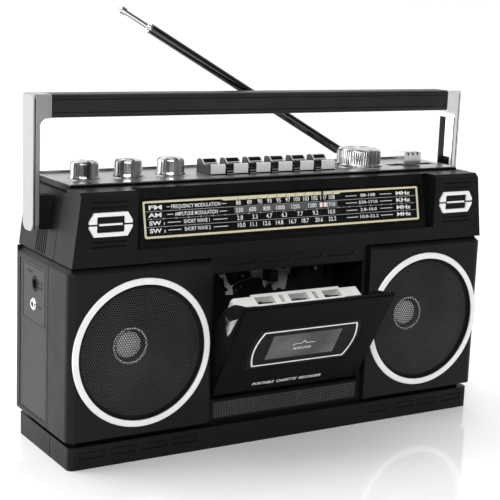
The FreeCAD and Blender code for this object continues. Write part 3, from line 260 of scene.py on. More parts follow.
def make_materials():
    m = {}
    m["case"] = moulded("case_plastic", 0.006, 0.40)
    m["tray"] = moulded("tray_plastic", 0.005, 0.45)
    m["frame"] = moulded("frame_plastic", 0.005, 0.42)
    m["tuner"] = moulded("tuner_plastic", 0.006, 0.38, specular=0.13)
    m["inner"] = moulded("inner_plastic", 0.006, 0.60, edge=0.2)
    m["door"] = moulded("door_plastic", 0.003, 0.36, grain_depth=0.008, specular=0.05)
    m["deck_black"] = moulded("deck_rim_plastic", 0.003, 0.25, grain_depth=0.004, specular=0.12)
    m["grip"] = moulded("grip_plastic", 0.02, 0.40)
    m["steel"] = brushed("zinc_plated_steel", 0.45, 0.35, (60, 60, 1))
    m["spring"] = brushed("spring_steel", 0.8, 0.2, (1, 1, 60))
    m["screw"] = plated("black_zinc", 0.25, 0.35)
    m["chrome"] = plated("bright_chrome", 0.80, 0.14)
    m["knob"] = streaked("knob_chrome", 0.92, 0.2)
    m["key"] = key_material()
    m["ring"] = ring_paint()
    m["emblem"] = painted("emblem_silver_paint", 0.9)
    m["deck"] = brushed("deck_aluminium", 0.42, 0.32)
    m["dark_chrome"] = plated("black_chrome", 0.10, 0.12)
    m["grille"] = moulded("grille_enamel", 0.04, 0.35, grain_mm=0.2, edge=0.05)
    m["speaker"] = moulded("speaker_parts", 0.006, 0.7, grain_mm=0.9, grain_depth=0.05, specular=0.08)
    m["cassette"] = cassette_material()
    m["hub"] = moulded("hub_acetal", 0.75, 0.4)
    m["rubber"] = moulded("drive_rubber", 0.012, 0.85)
    m["board"] = board_material()
    m["window"] = smoked_material()
    m["clear"] = clear_material()
    m["scale"] = moulded("scale_black", 0.004, 0.25, grain_depth=0.002, edge=0.1)
    m["pointer"] = pointer_material()
    m["side"] = side_material()
    m["ink"] = ink("white_ink", (0.95, 0.95, 0.94))
    m["pale_ink"] = ink("pale_ink", (0.45, 0.44, 0.40))
    m["grey_ink"] = ink("grey_ink", (0.10, 0.115, 0.12))
    m["dark_ink"] = ink("dark_ink", (0.01, 0.01, 0.01))
    m["cream"] = ink("cream_border", (0.86, 0.80, 0.55))
    m["smoke"] = smoke_pane_material()
    # near-white diffuse: painted highlight standing in for the dust caps' glint
    m["cap"] = ink("dust_cap_glint_white", (0.98, 0.98, 0.98))
    m["arm"] = satin("satin_silver_painted_light")
    m["gloss_black"] = moulded("gloss_black", 0.004, 0.12, grain_depth=0.002, edge=0.1)
    m["key_top"] = key_top_material()
    m["inlay"] = moulded("inlay_black", 0.004, 0.25, grain_depth=0.004, edge=0.1)
    m["dots"] = moulded("dot_plastic", 0.09, 0.35, edge=0.05)
    m["plate"] = sheet_material("mech_plate_steel", (-8.6, -9.4), (-47.0, -46.0, 1.0, 0.0))
    m["bridge"] = sheet_material("head_bracket_steel", (-10.3, -9.9), (-60.0, -59.0, 19.5, 18.5))
    m["rib"] = ink("rib_grey", (0.35, 0.35, 0.35))
    m["tape"] = tape_material()
    return m


def satin(name):
    """Satin silver of the handle's arms, paler towards the right-hand one: painted light, one finish coloured
    lighter on the right arm than on the left.
    """
    s = Surface(name, (0.55, 0.55, 0.56), 0.36, metallic=0.75)
    painted_light_axis = s.node("ShaderNodeSeparateXYZ", {"Vector": s.place})
    # painted light: dark on the left arm, pale on the right
    level = s.ramp(painted_light_axis.outputs["X"], -0.1, 0.1, 0.0, 1.0)
    s.set_colour(s.blend_colour(level, (0.42, 0.42, 0.43), (0.95, 0.95, 0.96)))
    s.vary_rough(0.05, 90.0, (1, 1, 0.1))
    s.round_edges(0.4)
    return s.material


def sheet_material(name, depth_mm, span_mm):
    """Near-black steel with pale patches between two depths and between two pairs of x limits: painted light,
    raised in tone so that they show in the shaded bay.
    """
    s = Surface(name, (0.75, 0.75, 0.75), 0.45, metallic=0.2)
    place = s.node("ShaderNodeSeparateXYZ", {"Vector": s.place}).outputs
    start, full, end, fade = span_mm
    painted_light_patch = s.ramp(place["Y"], depth_mm[0] * MM, depth_mm[1] * MM, 0.0, 1.0)
    after = s.ramp(place["X"], start * MM, full * MM, 0.0, 1.0)
    before = s.ramp(place["X"], fade * MM, end * MM, 1.0, 0.0)
    mottle = s.ramp(s.noise(140.0, 4.0), 0.3, 0.7, 0.75, 1.0)
    painted_light_patch = s.maths("MULTIPLY", s.maths("MULTIPLY", painted_light_patch, mottle), s.maths("MULTIPLY", after, before))
    # pale painted-light patches on near-black steel
    s.set_colour(s.blend_colour(painted_light_patch, (0.006,) * 3, s.colour[:3]))
    s.vary_rough(0.08, 200.0)
    s.round_edges(0.2)
    s.grain(0.5, 0.004)
    return s.material


def tape_material():
    s = Surface("magnetic_tape", (0.012, 0.010, 0.009), 0.3, specular=0.3)
    s.vary_colour(0.7, 1.4, 60.0, (1, 1, 8))
    s.vary_rough(0.06, 90.0)
    s.grain(0.4, 0.002)
    return s.material


def cassette_material():
    s = Surface("cassette_shell_white", (0.82, 0.82, 0.80), 0.35)
    s.vary_colour(0.93, 1.03, 90.0)
    s.round_edges(0.4)
    s.grain(0.6, 0.015)
    return s.material


def board_material():
    s = Surface("phenolic_board", (0.16, 0.08, 0.03), 0.5)
    s.vary_colour(0.7, 1.3, 200.0, (1, 3, 1))
    s.grain(0.8, 0.03)
    return s.material


def smoked_material():
    s = Surface("smoked_acrylic", (0.006, 0.006, 0.006), 0.15, specular=0.15)
    s.shader.inputs["Alpha"].default_value = 0.82
    s.vary_colour(0.8, 1.3, 40.0)
    s.grain(8.0, 0.01)
    return s.material


def clear_material():
    s = Surface("clear_acrylic", (0.05, 0.05, 0.05), 0.03, specular=0.2)
    s.shader.inputs["Alpha"].default_value = 0.05
    s.vary_rough(0.015, 50.0)
    s.grain(20.0, 0.01)
    return s.material


def pointer_material():
    s = Surface("pointer_red", (0.8, 0.04, 0.02), 0.3)
    s.vary_colour(0.9, 1.1, 300.0)
    s.grain(0.6, 0.005)
    return s.material


def ink(name, colour):
    """Screen-printed ink with a slightly uneven film."""
    s = Surface(name, colour, 0.45, specular=0.3)
    s.vary_colour(0.92, 1.04, 900.0)
    s.vary_rough(0.06, 700.0)
    s.grain(0.25, 0.003)
    return s.material


def smoke_pane_material():
    """Grey view window where the cassette shows through, mottled lighter and darker."""
    s = Surface("view_pane_smoke", (0.10, 0.10, 0.10), 0.2, specular=0.3)
    s.vary_colour(0.7, 1.5, 28.0, (1, 2, 2), 1.0)
    s.vary_rough(0.04, 80.0)
    s.grain(5.0, 0.008)
    return s.material


def key_material():
    """Silver key with a pale front and a darker top; the sides, picked out by which way they face, are
    coloured near-black as painted shade.
    """
    s = Surface("key_silver_plating", (0.78, 0.78, 0.79), 0.3, metallic=0.25)
    facing = s.node("ShaderNodeTexCoord").outputs["Normal"]
    normal = s.node("ShaderNodeSeparateXYZ", {"Vector": facing}).outputs
    # painted shade on the sides of the key
    painted_shade_sides = s.ramp(s.maths("ABSOLUTE", normal["X"]), 0.5, 0.8, 0.0, 1.0)
    mottle = s.ramp(s.noise(90.0), 0.3, 0.7, 0.92, 1.0)
    pale = s.blend_colour(mottle, (0.65, 0.65, 0.66), s.colour[:3])
    s.set_colour(s.blend_colour(painted_shade_sides, pale, (0.014, 0.014, 0.015)))
    s.vary_rough(0.05, 120.0)
    s.round_edges(0.25)
    return s.material


def key_top_material():
    """Dark plated top with a painted reflection: darker at its front edge and lighter towards the rear."""
    s = Surface("key_top_plating", (0.25, 0.25, 0.255), 0.2, metallic=0.9)
    depth = s.node("ShaderNodeSeparateXYZ", {"Vector": s.place}).outputs["Y"]
    painted_reflection_rearward = s.ramp(depth, -0.008, 0.010, 0.0, 1.0)
    s.set_colour(s.blend_colour(painted_reflection_rearward, (0.10, 0.10, 0.105), (0.55, 0.55, 0.56)))
    s.vary_rough(0.05, 120.0)
    s.grain(2.0, 0.005)
    return s.material


def side_material():
    """Side panel: slanted rows of fine ridges, plain and smooth on the raised plate; along the ridges the
    colour is striped dark and light as painted shade and highlight.
    """
    s = Surface("side_panel_knurl", (0.010, 0.010, 0.0102), 0.40, specular=0.3)
    turned = s.node("ShaderNodeMapping", {"Vector": s.place, "Rotation": (math.radians(-14.0), 0.0, 0.0)})
    wave = s.node("ShaderNodeTexWave", {"Vector": turned.outputs["Vector"], "Scale": 175.0,
                                        "Distortion": 0.0}, bands_direction="Z").outputs["Fac"]
    place = s.node("ShaderNodeSeparateXYZ", {"Vector": s.place})
    above = s.ramp(place.outputs["Z"], 0.0836, 0.0838, 0.0, 1.0)
    inside = s.maths("MULTIPLY", s.ramp(place.outputs["Y"], -0.0062, -0.0060, 0.0, 1.0),
                     s.ramp(place.outputs["Y"], 0.0308, 0.0310, 1.0, 0.0))
    plain = s.maths("MULTIPLY", above, inside)
    ridged = s.maths("SUBTRACT", 1.0, plain)
    # painted shade and highlight following the ridges
    shade = s.ramp(s.maths("MULTIPLY", wave, ridged), 0.15, 0.75, 1.0, 0.0)
    s.set_colour(s.blend_colour(shade, (0.001, 0.001, 0.001), (0.018, 0.018, 0.0185)))
    s.round_edges(0.4)
    s.bump(s.maths("MULTIPLY", wave, ridged), 0.30)
    s.grain(0.45, 0.015)
    return s.material


def dress_frame(m):
    dress(m["tray"], "base_tray")
    dress(m["case"], "front_shell", "mid_shell", "back_cover", "battery_door")
    dress(m["side"], "left_side_panel", "right_side_panel")
    dress(m["frame"], "bay_frame")
    dress(m["tuner"], "tuner_shell")
    dress(m["inner"], "cassette_holder", "dc_socket", "supply_spindle", "takeup_spindle", "key_bed")
    dress(m["door"], "cassette_door")
    dress(m["deck_black"], "deck_rim")
    dress(m["grip"], "handle_grip")
    dress(m["steel"], "motor", "motor_pulley", "capstan")
    dress(m["bridge"], "head_bridge")
    dress(m["plate"], "mech_plate")
    dress(m["spring"], "holder_springs")
    dress(m["screw"], "back_screws")
    dress(m["chrome"], "phone_socket", "tuning_knob", "band_switch", "volume_knob", "tone_knob",
          "balance_knob", "antenna_yoke", "antenna_middle", "antenna_rod")
    dress(m["arm"], "left_handle_arm", "right_handle_arm")
    keys = ("record", "play", "rewind", "fast_forward", "stop_eject", "pause")
    dress(m["key"], *[k + "_key" for k in keys])
    dress(m["ring"], "left_speaker_ring", "right_speaker_ring")
    dress(m["emblem"], "emblems")
    dress(m["deck"], "deck_plate")
    dress(m["dark_chrome"], "antenna_tube")
    dress(m["grille"], "left_grille", "right_grille")
    dress(m["speaker"], "left_speaker", "right_speaker")
    dress(m["cassette"], "cassette_shell")
    dress(m["hub"], "supply_hub", "takeup_hub")
    dress(m["rubber"], "pinch_roller", "drive_belt")
    dress(m["board"], "main_board")
    dress(m["window"], "door_window")
    dress(m["clear"], "dial_window")
    dress(m["scale"], "dial_scale")
    dress(m["scale"], "dial_pointer")


# ---------------------------------------------------------------- mesh pieces

class Form:
    """Collects closed shapes in millimetres and becomes one visible piece."""

    def __init__(self, matrix=None):
        self.mesh = bmesh.new()
        self.matrix = matrix or Matrix()

    def loft(self, rings, closed=False):
        """Skin between rings of equal length; the first and last are capped unless closed is set."""
        made = [[self.mesh.verts.new(p) for p in ring] for ring in rings]
        pairs = list(zip(made, made[1:]))
        if closed:
            pairs.append((made[-1], made[0]))
        count = len(made[0])
        for lower, upper in pairs:
            for i in range(count):
                k = (i + 1) % count
                self.mesh.faces.new((lower[i], lower[k], upper[k], upper[i]))
        if not closed:
            self.mesh.faces.new(made[0][::-1])
            self.mesh.faces.new(made[-1])
        return self

    def slab(self, outline, n0, n1):
        """Closed outline of (x, t) points, from depth n0 to n1."""
        return self.loft([[(x, n, t) for x, t in outline] for n in (n0, n1)])

    def block(self, x0, x1, n0, n1, t0, t1):
        return self.slab([(x0, t0), (x1, t0), (x1, t1), (x0, t1)], n0, n1)

    def lathe(self, centre, profile, steps=64, wave=None):
        """Profile of (radius, height) turned about +Z at centre; wave(angle, height) adds to the radius."""
        rings = []
        for radius, height in profile:
            ring = []
            for i in range(steps):
                angle = math.tau * i / steps
                r = radius + (wave(angle, height) if wave else 0.0)
                ring.append((centre[0] + r * math.cos(angle), centre[1] + r * math.sin(angle),
                             centre[2] + height))
            rings.append(ring)
        return self.loft(rings)

    def text(self, words, x, t, height, n, width=1.0, align="LEFT", slant=0.0, span=None, bold=0.012):
        """Raised lettering with capitals of the given height; n is the depth of its middle.

        span, when given, is the words' whole length and replaces width. bold widens the strokes.
        """
        curve = bpy.data.curves.new("letters", "FONT")
        curve.body = words
        curve.size = height / CAPITAL
        curve.align_x = align
        curve.shear = slant
        curve.extrude = PRINT / 2
        curve.offset = bold * curve.size
        curve.resolution_u = 3
        thing = bpy.data.objects.new("letters", curve)
        bpy.context.scene.collection.objects.link(thing)
        flat = bpy.data.meshes.new_from_object(thing.evaluated_get(bpy.context.evaluated_depsgraph_get()))
        if span:
            places = [v.co.x for v in flat.vertices]
            width = span / (max(places) - min(places))
        upright = Matrix.Translation((x, n, t)) @ Matrix.Rotation(math.radians(90), 4, "X")
        flat.transform(upright @ Matrix.Diagonal((width, 1.0, 1.0, 1.0)))
        self.mesh.from_mesh(flat)
        bpy.data.objects.remove(thing)
        bpy.data.curves.remove(curve)
        bpy.data.meshes.remove(flat)
        return self

    def piece(self, name, material, body, slot, smooth=None):
        """Finish as an object that rides on a body. smooth is a crease angle in degrees, or None."""
        bmesh.ops.recalc_face_normals(self.mesh, faces=self.mesh.faces)
        data = bpy.data.meshes.new(name)
        self.mesh.to_mesh(data)
        self.mesh.free()
        data.transform(Matrix.Scale(MM, 4) @ self.matrix)
        data.materials.append(material)
        thing = bpy.data.objects.new(name, data)
        bpy.context.scene.collection.objects.link(thing)
        if smooth is not None:
            data.polygons.foreach_set("use_smooth", [True] * len(data.polygons))
            data.set_sharp_from_angle(angle=math.radians(smooth))
        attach(thing, body)
        return thing


CAPITAL = 0.73          # height of a capital letter, as a share of the font's size
PRINT = 0.05            # thickness of printed ink


# ---------------------------------------------------------------- tuning dial

DIAL_FACE = 2.9         # depth of the scale plate behind the dial panel
ROWS = {"FM": 25.1, "AM": 20.25, "SW1": 15.2, "SW2": 10.35}     # middle of each band's row
DIAL_NUMBERS = {
    "FM": [("88", -39.0), ("89", -30.5), ("90", -22.4), ("93", -15.0), ("95", -7.7), ("97", -0.5),
           ("100", 6.4), ("103", 13.8), ("105", 20.8), ("107", 27.9), ("108", 34.9)],
    "AM": [("530", -38.5), ("600", -28.5), ("800", -17.5), ("1000", -7.0), ("1250", 5.0), ("1500", 18.5),
           ("1710", 34.0)],
    "SW1": [("2.8", -38.5), ("3.3", -27.0), ("4.7", -16.0), ("6.3", -4.0), ("7.7", 8.5), ("9.2", 21.0),
            ("10.0", 34.0)],
    "SW2": [("10.0", -38.0), ("11.1", -28.5), ("12.6", -18.5), ("14.8", -8.5), ("16.7", 2.0), ("18.7", 12.0),
            ("20.6", 23.5), ("22.2", 34.5)],
}
# Each band's name with its printed length and its gap to the rules.
DIAL_WORDS = {"FM": ("FREQUENCY MODULATION", 36.0, 0.9), "AM": ("AMPLITUDE MODULATION", 31.4, 1.2),
              "SW1": ("SHORT WAVE 1", 19.0, 2.4), "SW2": ("SHORT WAVE 2", 19.0, 2.4)}
DIAL_RANGES = {"FM": ("88-108", 12.5, "MHz"), "AM": ("530-1710", 16.0, "KHz"),
               "SW1": ("2.8-10.0", 14.0, "MHz"), "SW2": ("10.0-22.2", 15.6, "MHz")}
WORDS_X = -70.5


def line(form, x0, x1, t, thick=0.35):
    """Printed rule on the scale plate."""
    form.block(x0, x1, DIAL_FACE - PRINT, DIAL_FACE, t - thick / 2, t + thick / 2)


def dial_print(m):
    white = Form(dial_plane())
    depth = DIAL_FACE - PRINT / 2
    for band, t in ROWS.items():
        foot = t - 1.25
        white.text(band[:2], -105.0, foot, 2.7, depth, span=9.4 if len(band) == 2 else 8.6, bold=0.03)
        if len(band) > 2:
            white.text(band[2], -95.0, foot, 1.6, depth, 1.3, bold=0.03)
        word, length, gap = DIAL_WORDS[band]
        white.text(word, WORDS_X, foot + 0.1, 2.5, depth, align="CENTER", span=length)
        line(white, -91.8, WORDS_X - length / 2 - gap, t, 0.4)
        line(white, WORDS_X + length / 2 + gap, -48.0, t, 0.4)
        for number, x in DIAL_NUMBERS[band]:
            white.text(number, x, foot - 0.1, 2.95, depth, 0.92, "CENTER")
        words, length, unit = DIAL_RANGES[band]
        white.text(words, 65.5, foot + 0.3, 2.1, depth, align="CENTER", span=length)
        line(white, 46.6, 56.0, t, 0.4)
        line(white, 75.7, 86.0, t, 0.4)
        white.text(unit, 89.6, foot, 2.6, depth, span=12.3, bold=0.03)
    white.piece("dial_print", m["ink"], "root", "dial_black")

    rules = Form(dial_plane())
    for upper, lower in (("FM", "AM"), ("SW1", "SW2")):
        line(rules, -107.6, 107.6, (ROWS[upper] + ROWS[lower]) / 2, 0.3)
    t = (ROWS["AM"] + ROWS["SW1"]) / 2
    line(rules, -106.5, 106.5, t, 0.2)
    for i in range(24):
        x = -103.5 + 9.0 * i
        line(rules, x - 0.45, x + 0.45, t, 0.9)
    rules.piece("dial_rules", m["pale_ink"], "root", "dial_black")

    band = Form(dial_plane())
    band.block(-42.5, 39.5, DIAL_FACE - 0.02, DIAL_FACE, ROWS["AM"] - 1.9, ROWS["AM"] + 1.9)
    band.piece("dial_am_band", m["grey_ink"], "root", "dial_black")

    ruler = Form(dial_plane())
    ruler.slab([(-52.5, 28.25), (-49.8, 27.0), (41.0, 27.0), (43.7, 28.25)], DIAL_FACE - 0.3, DIAL_FACE)
    inner, outer = 27.95, 29.3
    edge = [(x, t) for x, t in rounded(-108.9, 108.9, 5.6, outer, 1.4)]
    hole = [(x, t) for x, t in rounded(-107.5, 107.5, 7.0, inner, 0.6)]
    ruler.loft([[(x, DIAL_FACE - 0.4, t) for x, t in edge], [(x, DIAL_FACE - 0.4, t) for x, t in hole],
                [(x, DIAL_FACE, t) for x, t in hole], [(x, DIAL_FACE, t) for x, t in edge]], closed=True)
    ruler.piece("dial_border", m["cream"], "root", "dial_black")

    ticks = Form(dial_plane())
    for i in range(11):
        x = -39.5 + 7.45 * i
        ticks.block(x - 0.12, x + 0.12, DIAL_FACE - 0.45, DIAL_FACE - 0.3, 27.0, 28.0)
        ticks.text(str(i), x + 0.3, 27.9, 1.0, DIAL_FACE - 0.43)
        for k in (0.25, 0.5, 0.75):
            if i < 10:
                tick = x + 7.45 * k
                ticks.block(tick - 0.06, tick + 0.06, DIAL_FACE - 0.45, DIAL_FACE - 0.3, 27.0, 27.5)
    ticks.piece("dial_ticks", m["dark_ink"], "root", "dial_black")


def pointer_trim(m):
    """White patch round a red centre line over the second band; the white is a painted highlight on the
    pointer.
    """
    low, high = node_box("dial_pointer")
    x = (low.x + high.x) / 2
    highlight_patch = Form(dial_plane())
    highlight_patch.block(x - 2.9, x + 2.9, 1.79, 1.85, 18.7, 21.8)
    highlight_patch.piece("pointer_painted_highlight", m["ink"], "pointer", "pointer_red")
    stripe = Form(dial_plane())
    stripe.block(x - 0.5, x + 0.5, 1.74, 1.79, 18.7, 21.8)
    stripe.piece("pointer_stripe", m["pointer"], "pointer", "pointer_red")


def circle(centre, r, y, steps):
    """Points of an upright circle that faces the front, at one depth."""
    return [(centre.x + r * math.cos(math.tau * i / steps), y, centre.z + r * math.sin(math.tau * i / steps))
            for i in range(steps)]


def rounded(x0, x1, t0, t1, r, steps=5):
    """Outline of a rectangle with rounded corners."""
    points = []
    corners = ((x1 - r, t1 - r, 0), (x0 + r, t1 - r, 90), (x0 + r, t0 + r, 180), (x1 - r, t0 + r, 270))
    for cx, ct, start in corners:
        for i in range(steps + 1):
            angle = math.radians(start + 90.0 * i / steps)
            points.append((cx + r * math.cos(angle), ct + r * math.sin(angle)))
    return points


# ---------------------------------------------------------------- speakers

PITCH = 1.65            # spacing of the grille's holes
HOLE_R = 0.67
RIM_Y = 2.0 - FRONT_SHIFT
RISE = 5.0


def grille(side, m):
    """Domed sheet with hexagonally packed holes and a plain rim."""
    low, high = node_box(side + "_grille")
    centre = (low + high) / 2
    rim_r = (high.x - low.x) / 2
    dome_r = rim_r - 1.2
    ball_r = (dome_r ** 2 + RISE ** 2) / (2 * RISE)

    def on_dome(x, z):
        rho2 = min(x * x + z * z, dome_r ** 2)
        return (centre.x + x, RIM_Y - RISE + ball_r - math.sqrt(ball_r ** 2 - rho2), centre.z + z)

    form = Form()
    corners = [(math.cos(math.radians(60 * i + 30)), math.sin(math.radians(60 * i + 30))) for i in range(6)]
    known = {}

    def shared(x, z):
        key = (round(x, 3), round(z, 3))
        if key not in known:
            known[key] = form.mesh.verts.new(on_dome(x, z))
        return known[key]

    reach = int(dome_r / PITCH) + 1
    side_r = PITCH / math.sqrt(3)
    for row in range(-int(reach / 0.86), int(reach / 0.86) + 1):
        for column in range(-reach, reach + 1):
            x = (column + 0.5 * (row % 2)) * PITCH
            z = row * PITCH * math.sqrt(0.75)
            if math.hypot(x, z) > dome_r - 0.9:
                continue
            outer = [shared(x + side_r * a, z + side_r * b) for a, b in corners]
            inner = [form.mesh.verts.new(on_dome(x + HOLE_R * a, z + HOLE_R * b)) for a, b in corners]
            for i in range(6):
                k = (i + 1) % 6
                form.mesh.faces.new((outer[i], outer[k], inner[k], inner[i]))
    sheet = form.piece(side + "_grille_mesh", m["grille"], "root", "grille_black")
    thick = sheet.modifiers.new("sheet", "SOLIDIFY")
    thick.thickness = 0.25 * MM
    thick.offset = -1.0

    rim = Form()
    ring = [(dome_r - 1.6, RIM_Y - 0.35), (rim_r, RIM_Y - 0.1), (rim_r, RIM_Y + 0.8),
            (dome_r - 1.6, RIM_Y + 0.8)]
    steps = 96
    rim.loft([circle(centre, r, y, steps) for r, y in ring], closed=True)
    frame_ring = rim.piece(side + "_grille_rim", m["inner"], "root", "grille_black", 40)
    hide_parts(side + "_grille")
    return frame_ring


def bright_cap(side, m):
    """Aluminium dust cap, sunk a little behind the voice-coil ring; both are coloured near-white as a painted
    highlight for the metal's glint.
    """
    centre = middle_of(side + "_grille")
    steps = 48

    def ring(r, y):
        return circle(centre, r, y, steps)

    form = Form()
    dome = [(0.4, -25.6), (2.5, -25.5), (4.5, -25.2), (6.5, -24.6), (8.2, -23.9), (8.8, -23.4)]
    form.loft([ring(r, y) for r, y in dome] + [ring(8.8, -23.1), ring(0.4, -23.1)])
    form.loft([ring(11.0, -26.6), ring(11.6, -26.9), ring(12.2, -26.6), ring(12.2, -26.2), ring(11.0, -26.2)],
              closed=True)
    form.piece(side + "_dust_cap_painted_glint", m["cap"], "root", "speaker_parts", 40)


# ---------------------------------------------------------------- knobs

def small_knob(name, m):
    """Plated knob with a softly faceted side, a crowned top and a pointer notch."""
    place = joint_place(name.replace("_knob", "_turn"))
    z1 = node_box(name)[1].z
    z0 = z1 - 11.0
    centre = (place.x, place.y, z0)
    facets = 24

    def wave(angle, height):
        return 0.12 * math.cos(facets * angle) if 1.2 < height < 9.2 else 0.0

    form = Form()
    profile = [(9.7, 0.0), (9.7, 0.7), (9.2, 1.4), (9.0, 2.0), (8.9, 9.0), (8.6, 10.0), (8.0, 10.5),
               (7.2, 10.7), (5.0, 10.85), (0.5, 11.0)]
    form.lathe(centre, profile, 96, wave)
    knob = form.piece(name + "_cap", m["knob"], name, "knob_silver", 50)
    notch = Form()
    notch.block(place.x - 0.45, place.x + 0.45, place.y - 8.6, place.y - 3.5, z1 - 0.6, z1 + 0.12)
    notch.piece(name + "_mark", m["dark_ink"], name, "knob_silver")
    stem = Form()
    stem.lathe((place.x, place.y, 157.6), [(3.0, 0.0), (3.0, z0 - 157.5)], 24)
    stem.piece(name + "_stem", m["steel"], name, "knob_silver", 40)
    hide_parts(name)


def tuning_knob(m):
    """Wide knob with a fluted side and a shallow conical top."""
    place = joint_place("tuning_turn")
    z1 = node_box("tuning_knob")[1].z
    z0 = z1 - 12.6
    flutes = 60

    def wave(angle, height):
        return -0.28 * (0.5 + 0.5 * math.cos(flutes * angle)) if 1.8 < height < 10.9 else 0.0

    form = Form()
    profile = [(16.85, 0.0), (16.85, 1.2), (15.9, 1.7), (15.85, 2.1), (15.85, 10.8), (15.6, 11.1),
               (14.9, 11.8), (13.6, 12.2), (12.6, 12.3), (11.9, 12.0), (6.0, 12.3), (0.5, 12.5)]
    form.lathe((place.x, place.y, z0), profile, flutes * 6, wave)
    knob = form.piece("tuning_knob_cap", m["knob"], "tuning_knob", "knob_silver", 45)
    drum = Form()
    drum.lathe((place.x, place.y, 155.0), [(3.0, 0.0), (3.0, 8.5), (13.1, 8.5), (13.1, 9.4), (12.1, 9.5),
                                           (12.1, 10.5), (13.1, 10.6), (13.1, 11.5), (3.0, 11.5),
                                           (3.0, z0 - 154.9)], 48)
    drum.piece("tuning_knob_drum", m["inner"], "tuning_knob", "knob_silver", 40)
    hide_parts("tuning_knob")


# ---------------------------------------------------------------- keys and switch

KEYS = ("record", "play", "rewind", "fast_forward", "stop_eject", "pause")


def key_trim(name, m):
    """Dark gradient top plate and black inlay on the rear hump."""
    low, high = node_box(name + "_key")
    middle = (low.x + high.x) / 2
    half = 5.65
    # top plate, coloured with a painted reflection gradient
    top = Form()
    outline = [(36.2, 185.36), (39.5, 184.62), (43.5, 184.22), (45.2, 184.62)]
    y_shift = FRONT_SHIFT
    ring = [(middle - half + 0.7, 0), (middle + half - 0.7, 0)]
    strip = [[(ring[0][0], y - y_shift, z), (ring[1][0], y - y_shift, z),
              (ring[1][0], y - y_shift, z + 0.12), (ring[0][0], y - y_shift, z + 0.12)] for y, z in outline]
    top.loft(strip)
    top.piece(name + "_key_plate", m["key_top"], name + "_key", "key_silver")
    # Black strip across the foot of the key front: a painted shadow where the key meets the deck.
    foot = Form()
    foot.block(middle - 5.65, middle + 5.65, 34.9 - y_shift, 35.05 - y_shift, 177.4, 178.9)
    foot.piece(name + "_key_foot_painted_shadow", m["inlay"], name + "_key", "key_silver")
    inlay = Form()
    slope = [(45.9, 185.15), (47.1, 186.55), (48.3, 187.3)]
    inlay.loft([[(middle - 4.6, y - y_shift - 0.15, z + 0.15), (middle + 4.6, y - y_shift - 0.15, z + 0.15),
                 (middle + 4.6, y - y_shift + 0.1, z - 0.1), (middle - 4.6, y - y_shift + 0.1, z - 0.1)]
                for y, z in slope])
    inlay.piece(name + "_key_inlay", m["inlay"], name + "_key", "key_silver")


def key_gap_ribs(m):
    """Fine horizontal ribs on the front of the dividers between the keys."""
    form = Form()
    for i in range(1, 6):
        middle = KEY_X0 + KEY_PITCH * (i - 0.5)
        for k in range(3):
            z = 177.0 + 1.7 * k
            form.block(middle - 2.4, middle + 2.4, 33.65 - FRONT_SHIFT, 34.05 - FRONT_SHIFT, z, z + 0.35)
    form.piece("key_gap_ribs", m["rib"], "root", "deck_black")


# ---------------------------------------------------------------- front details

def emblem_insert(side, m):
    """Sunk black insert with fine ribs inside each end emblem."""
    sign = -1 if side == "left" else 1
    x = sign * 135.7
    form = Form()
    y = 0.8 - FRONT_SHIFT
    form.slab([(x - 9.3, 151.6), (x + 9.3, 151.6), (x + 9.3, 161.4), (x - 9.3, 161.4)], y - 0.12, y + 0.02)
    for k in range(9):
        z = 152.2 + 1.0 * k
        if abs(z + 0.2 - 156.5) > 0.9:
            form.block(x - 8.6, x + 8.6, y - 0.35, y - 0.1, z, z + 0.35)
    for end in (-1, 1):
        xa, xb = sorted((x + end * 9.2, x + end * 15.4))
        form.block(xa, xb, node_box("emblems")[0].y - 0.06, y, 156.1, 156.9)
    form.piece(side + "_emblem_insert", m["gloss_black"], "root", "emblem_silver")


def socket_print(m):
    """Dark words beside the sockets on the left-hand plate."""
    left = Matrix(((0, 1, 0, -162.72), (-1, 0, 0, 0), (0, 0, 1, 0), (0, 0, 0, 1)))
    form = Form(left)
    for words, y, z in (("POWER", 67.5, 115.6), ("DC IN", 48.9, 110.6), ("INPUT", 48.9, 107.4),
                        ("PHONE", 52.0, 94.6)):
        form.text(words, -(y - FRONT_SHIFT), z, 2.2, -0.02, 0.85)
    form.piece("socket_words", m["gloss_black"], "root", "panel_black")


def side_lines(side, m):
    """Dark joint lines round the side panel, and round its plate on the left-hand side."""
    sign = -1 if side == "left" else 1
    form = Form()

    def strip(x, y0, y1, z0, z1):
        xa, xb = sorted((sign * (x - 0.1), sign * (x + 0.06)))
        form.block(xa, xb, y0 - FRONT_SHIFT, y1 - FRONT_SHIFT, z0, z1)

    def outline(x, y0, y1, z0, z1, w):
        for box in ((y0, y1, z1 - w, z1), (y0, y1, z0, z0 + w), (y0, y0 + w, z0, z1), (y1 - w, y1, z0, z1)):
            strip(x, *box)

    outline(162.7, 36.2, 79.8, 22.0, 122.4, 0.5)
    if side == "left":
        outline(162.7, 38.3, 74.4, 84.5, 120.6, 0.45)
    form.piece(side + "_panel_lines", m["inlay"], "root", "panel_black")


def dotted_strip(m):
    """Grid of small pyramids on the strip below the door."""
    form = Form()
    face = 2.4 - FRONT_SHIFT
    columns, rows = 92, 9
    for i in range(columns):
        x = -57.4 + (i + 0.5) * 114.8 / columns
        for k in range(rows):
            z = 20.9 + (k + 0.5) * 10.6 / rows
            half = 0.34
            base = [(x - half, face, z - half), (x + half, face, z - half), (x + half, face, z + half),
                    (x - half, face, z + half)]
            tip = [(x + 0.12 * a, face - 0.32, z + 0.12 * b) for a, b in ((-1, -1), (1, -1), (1, 1), (-1, 1))]
            form.loft([base, tip])
    form.piece("door_strip_dots", m["dots"], "root", "frame_black")


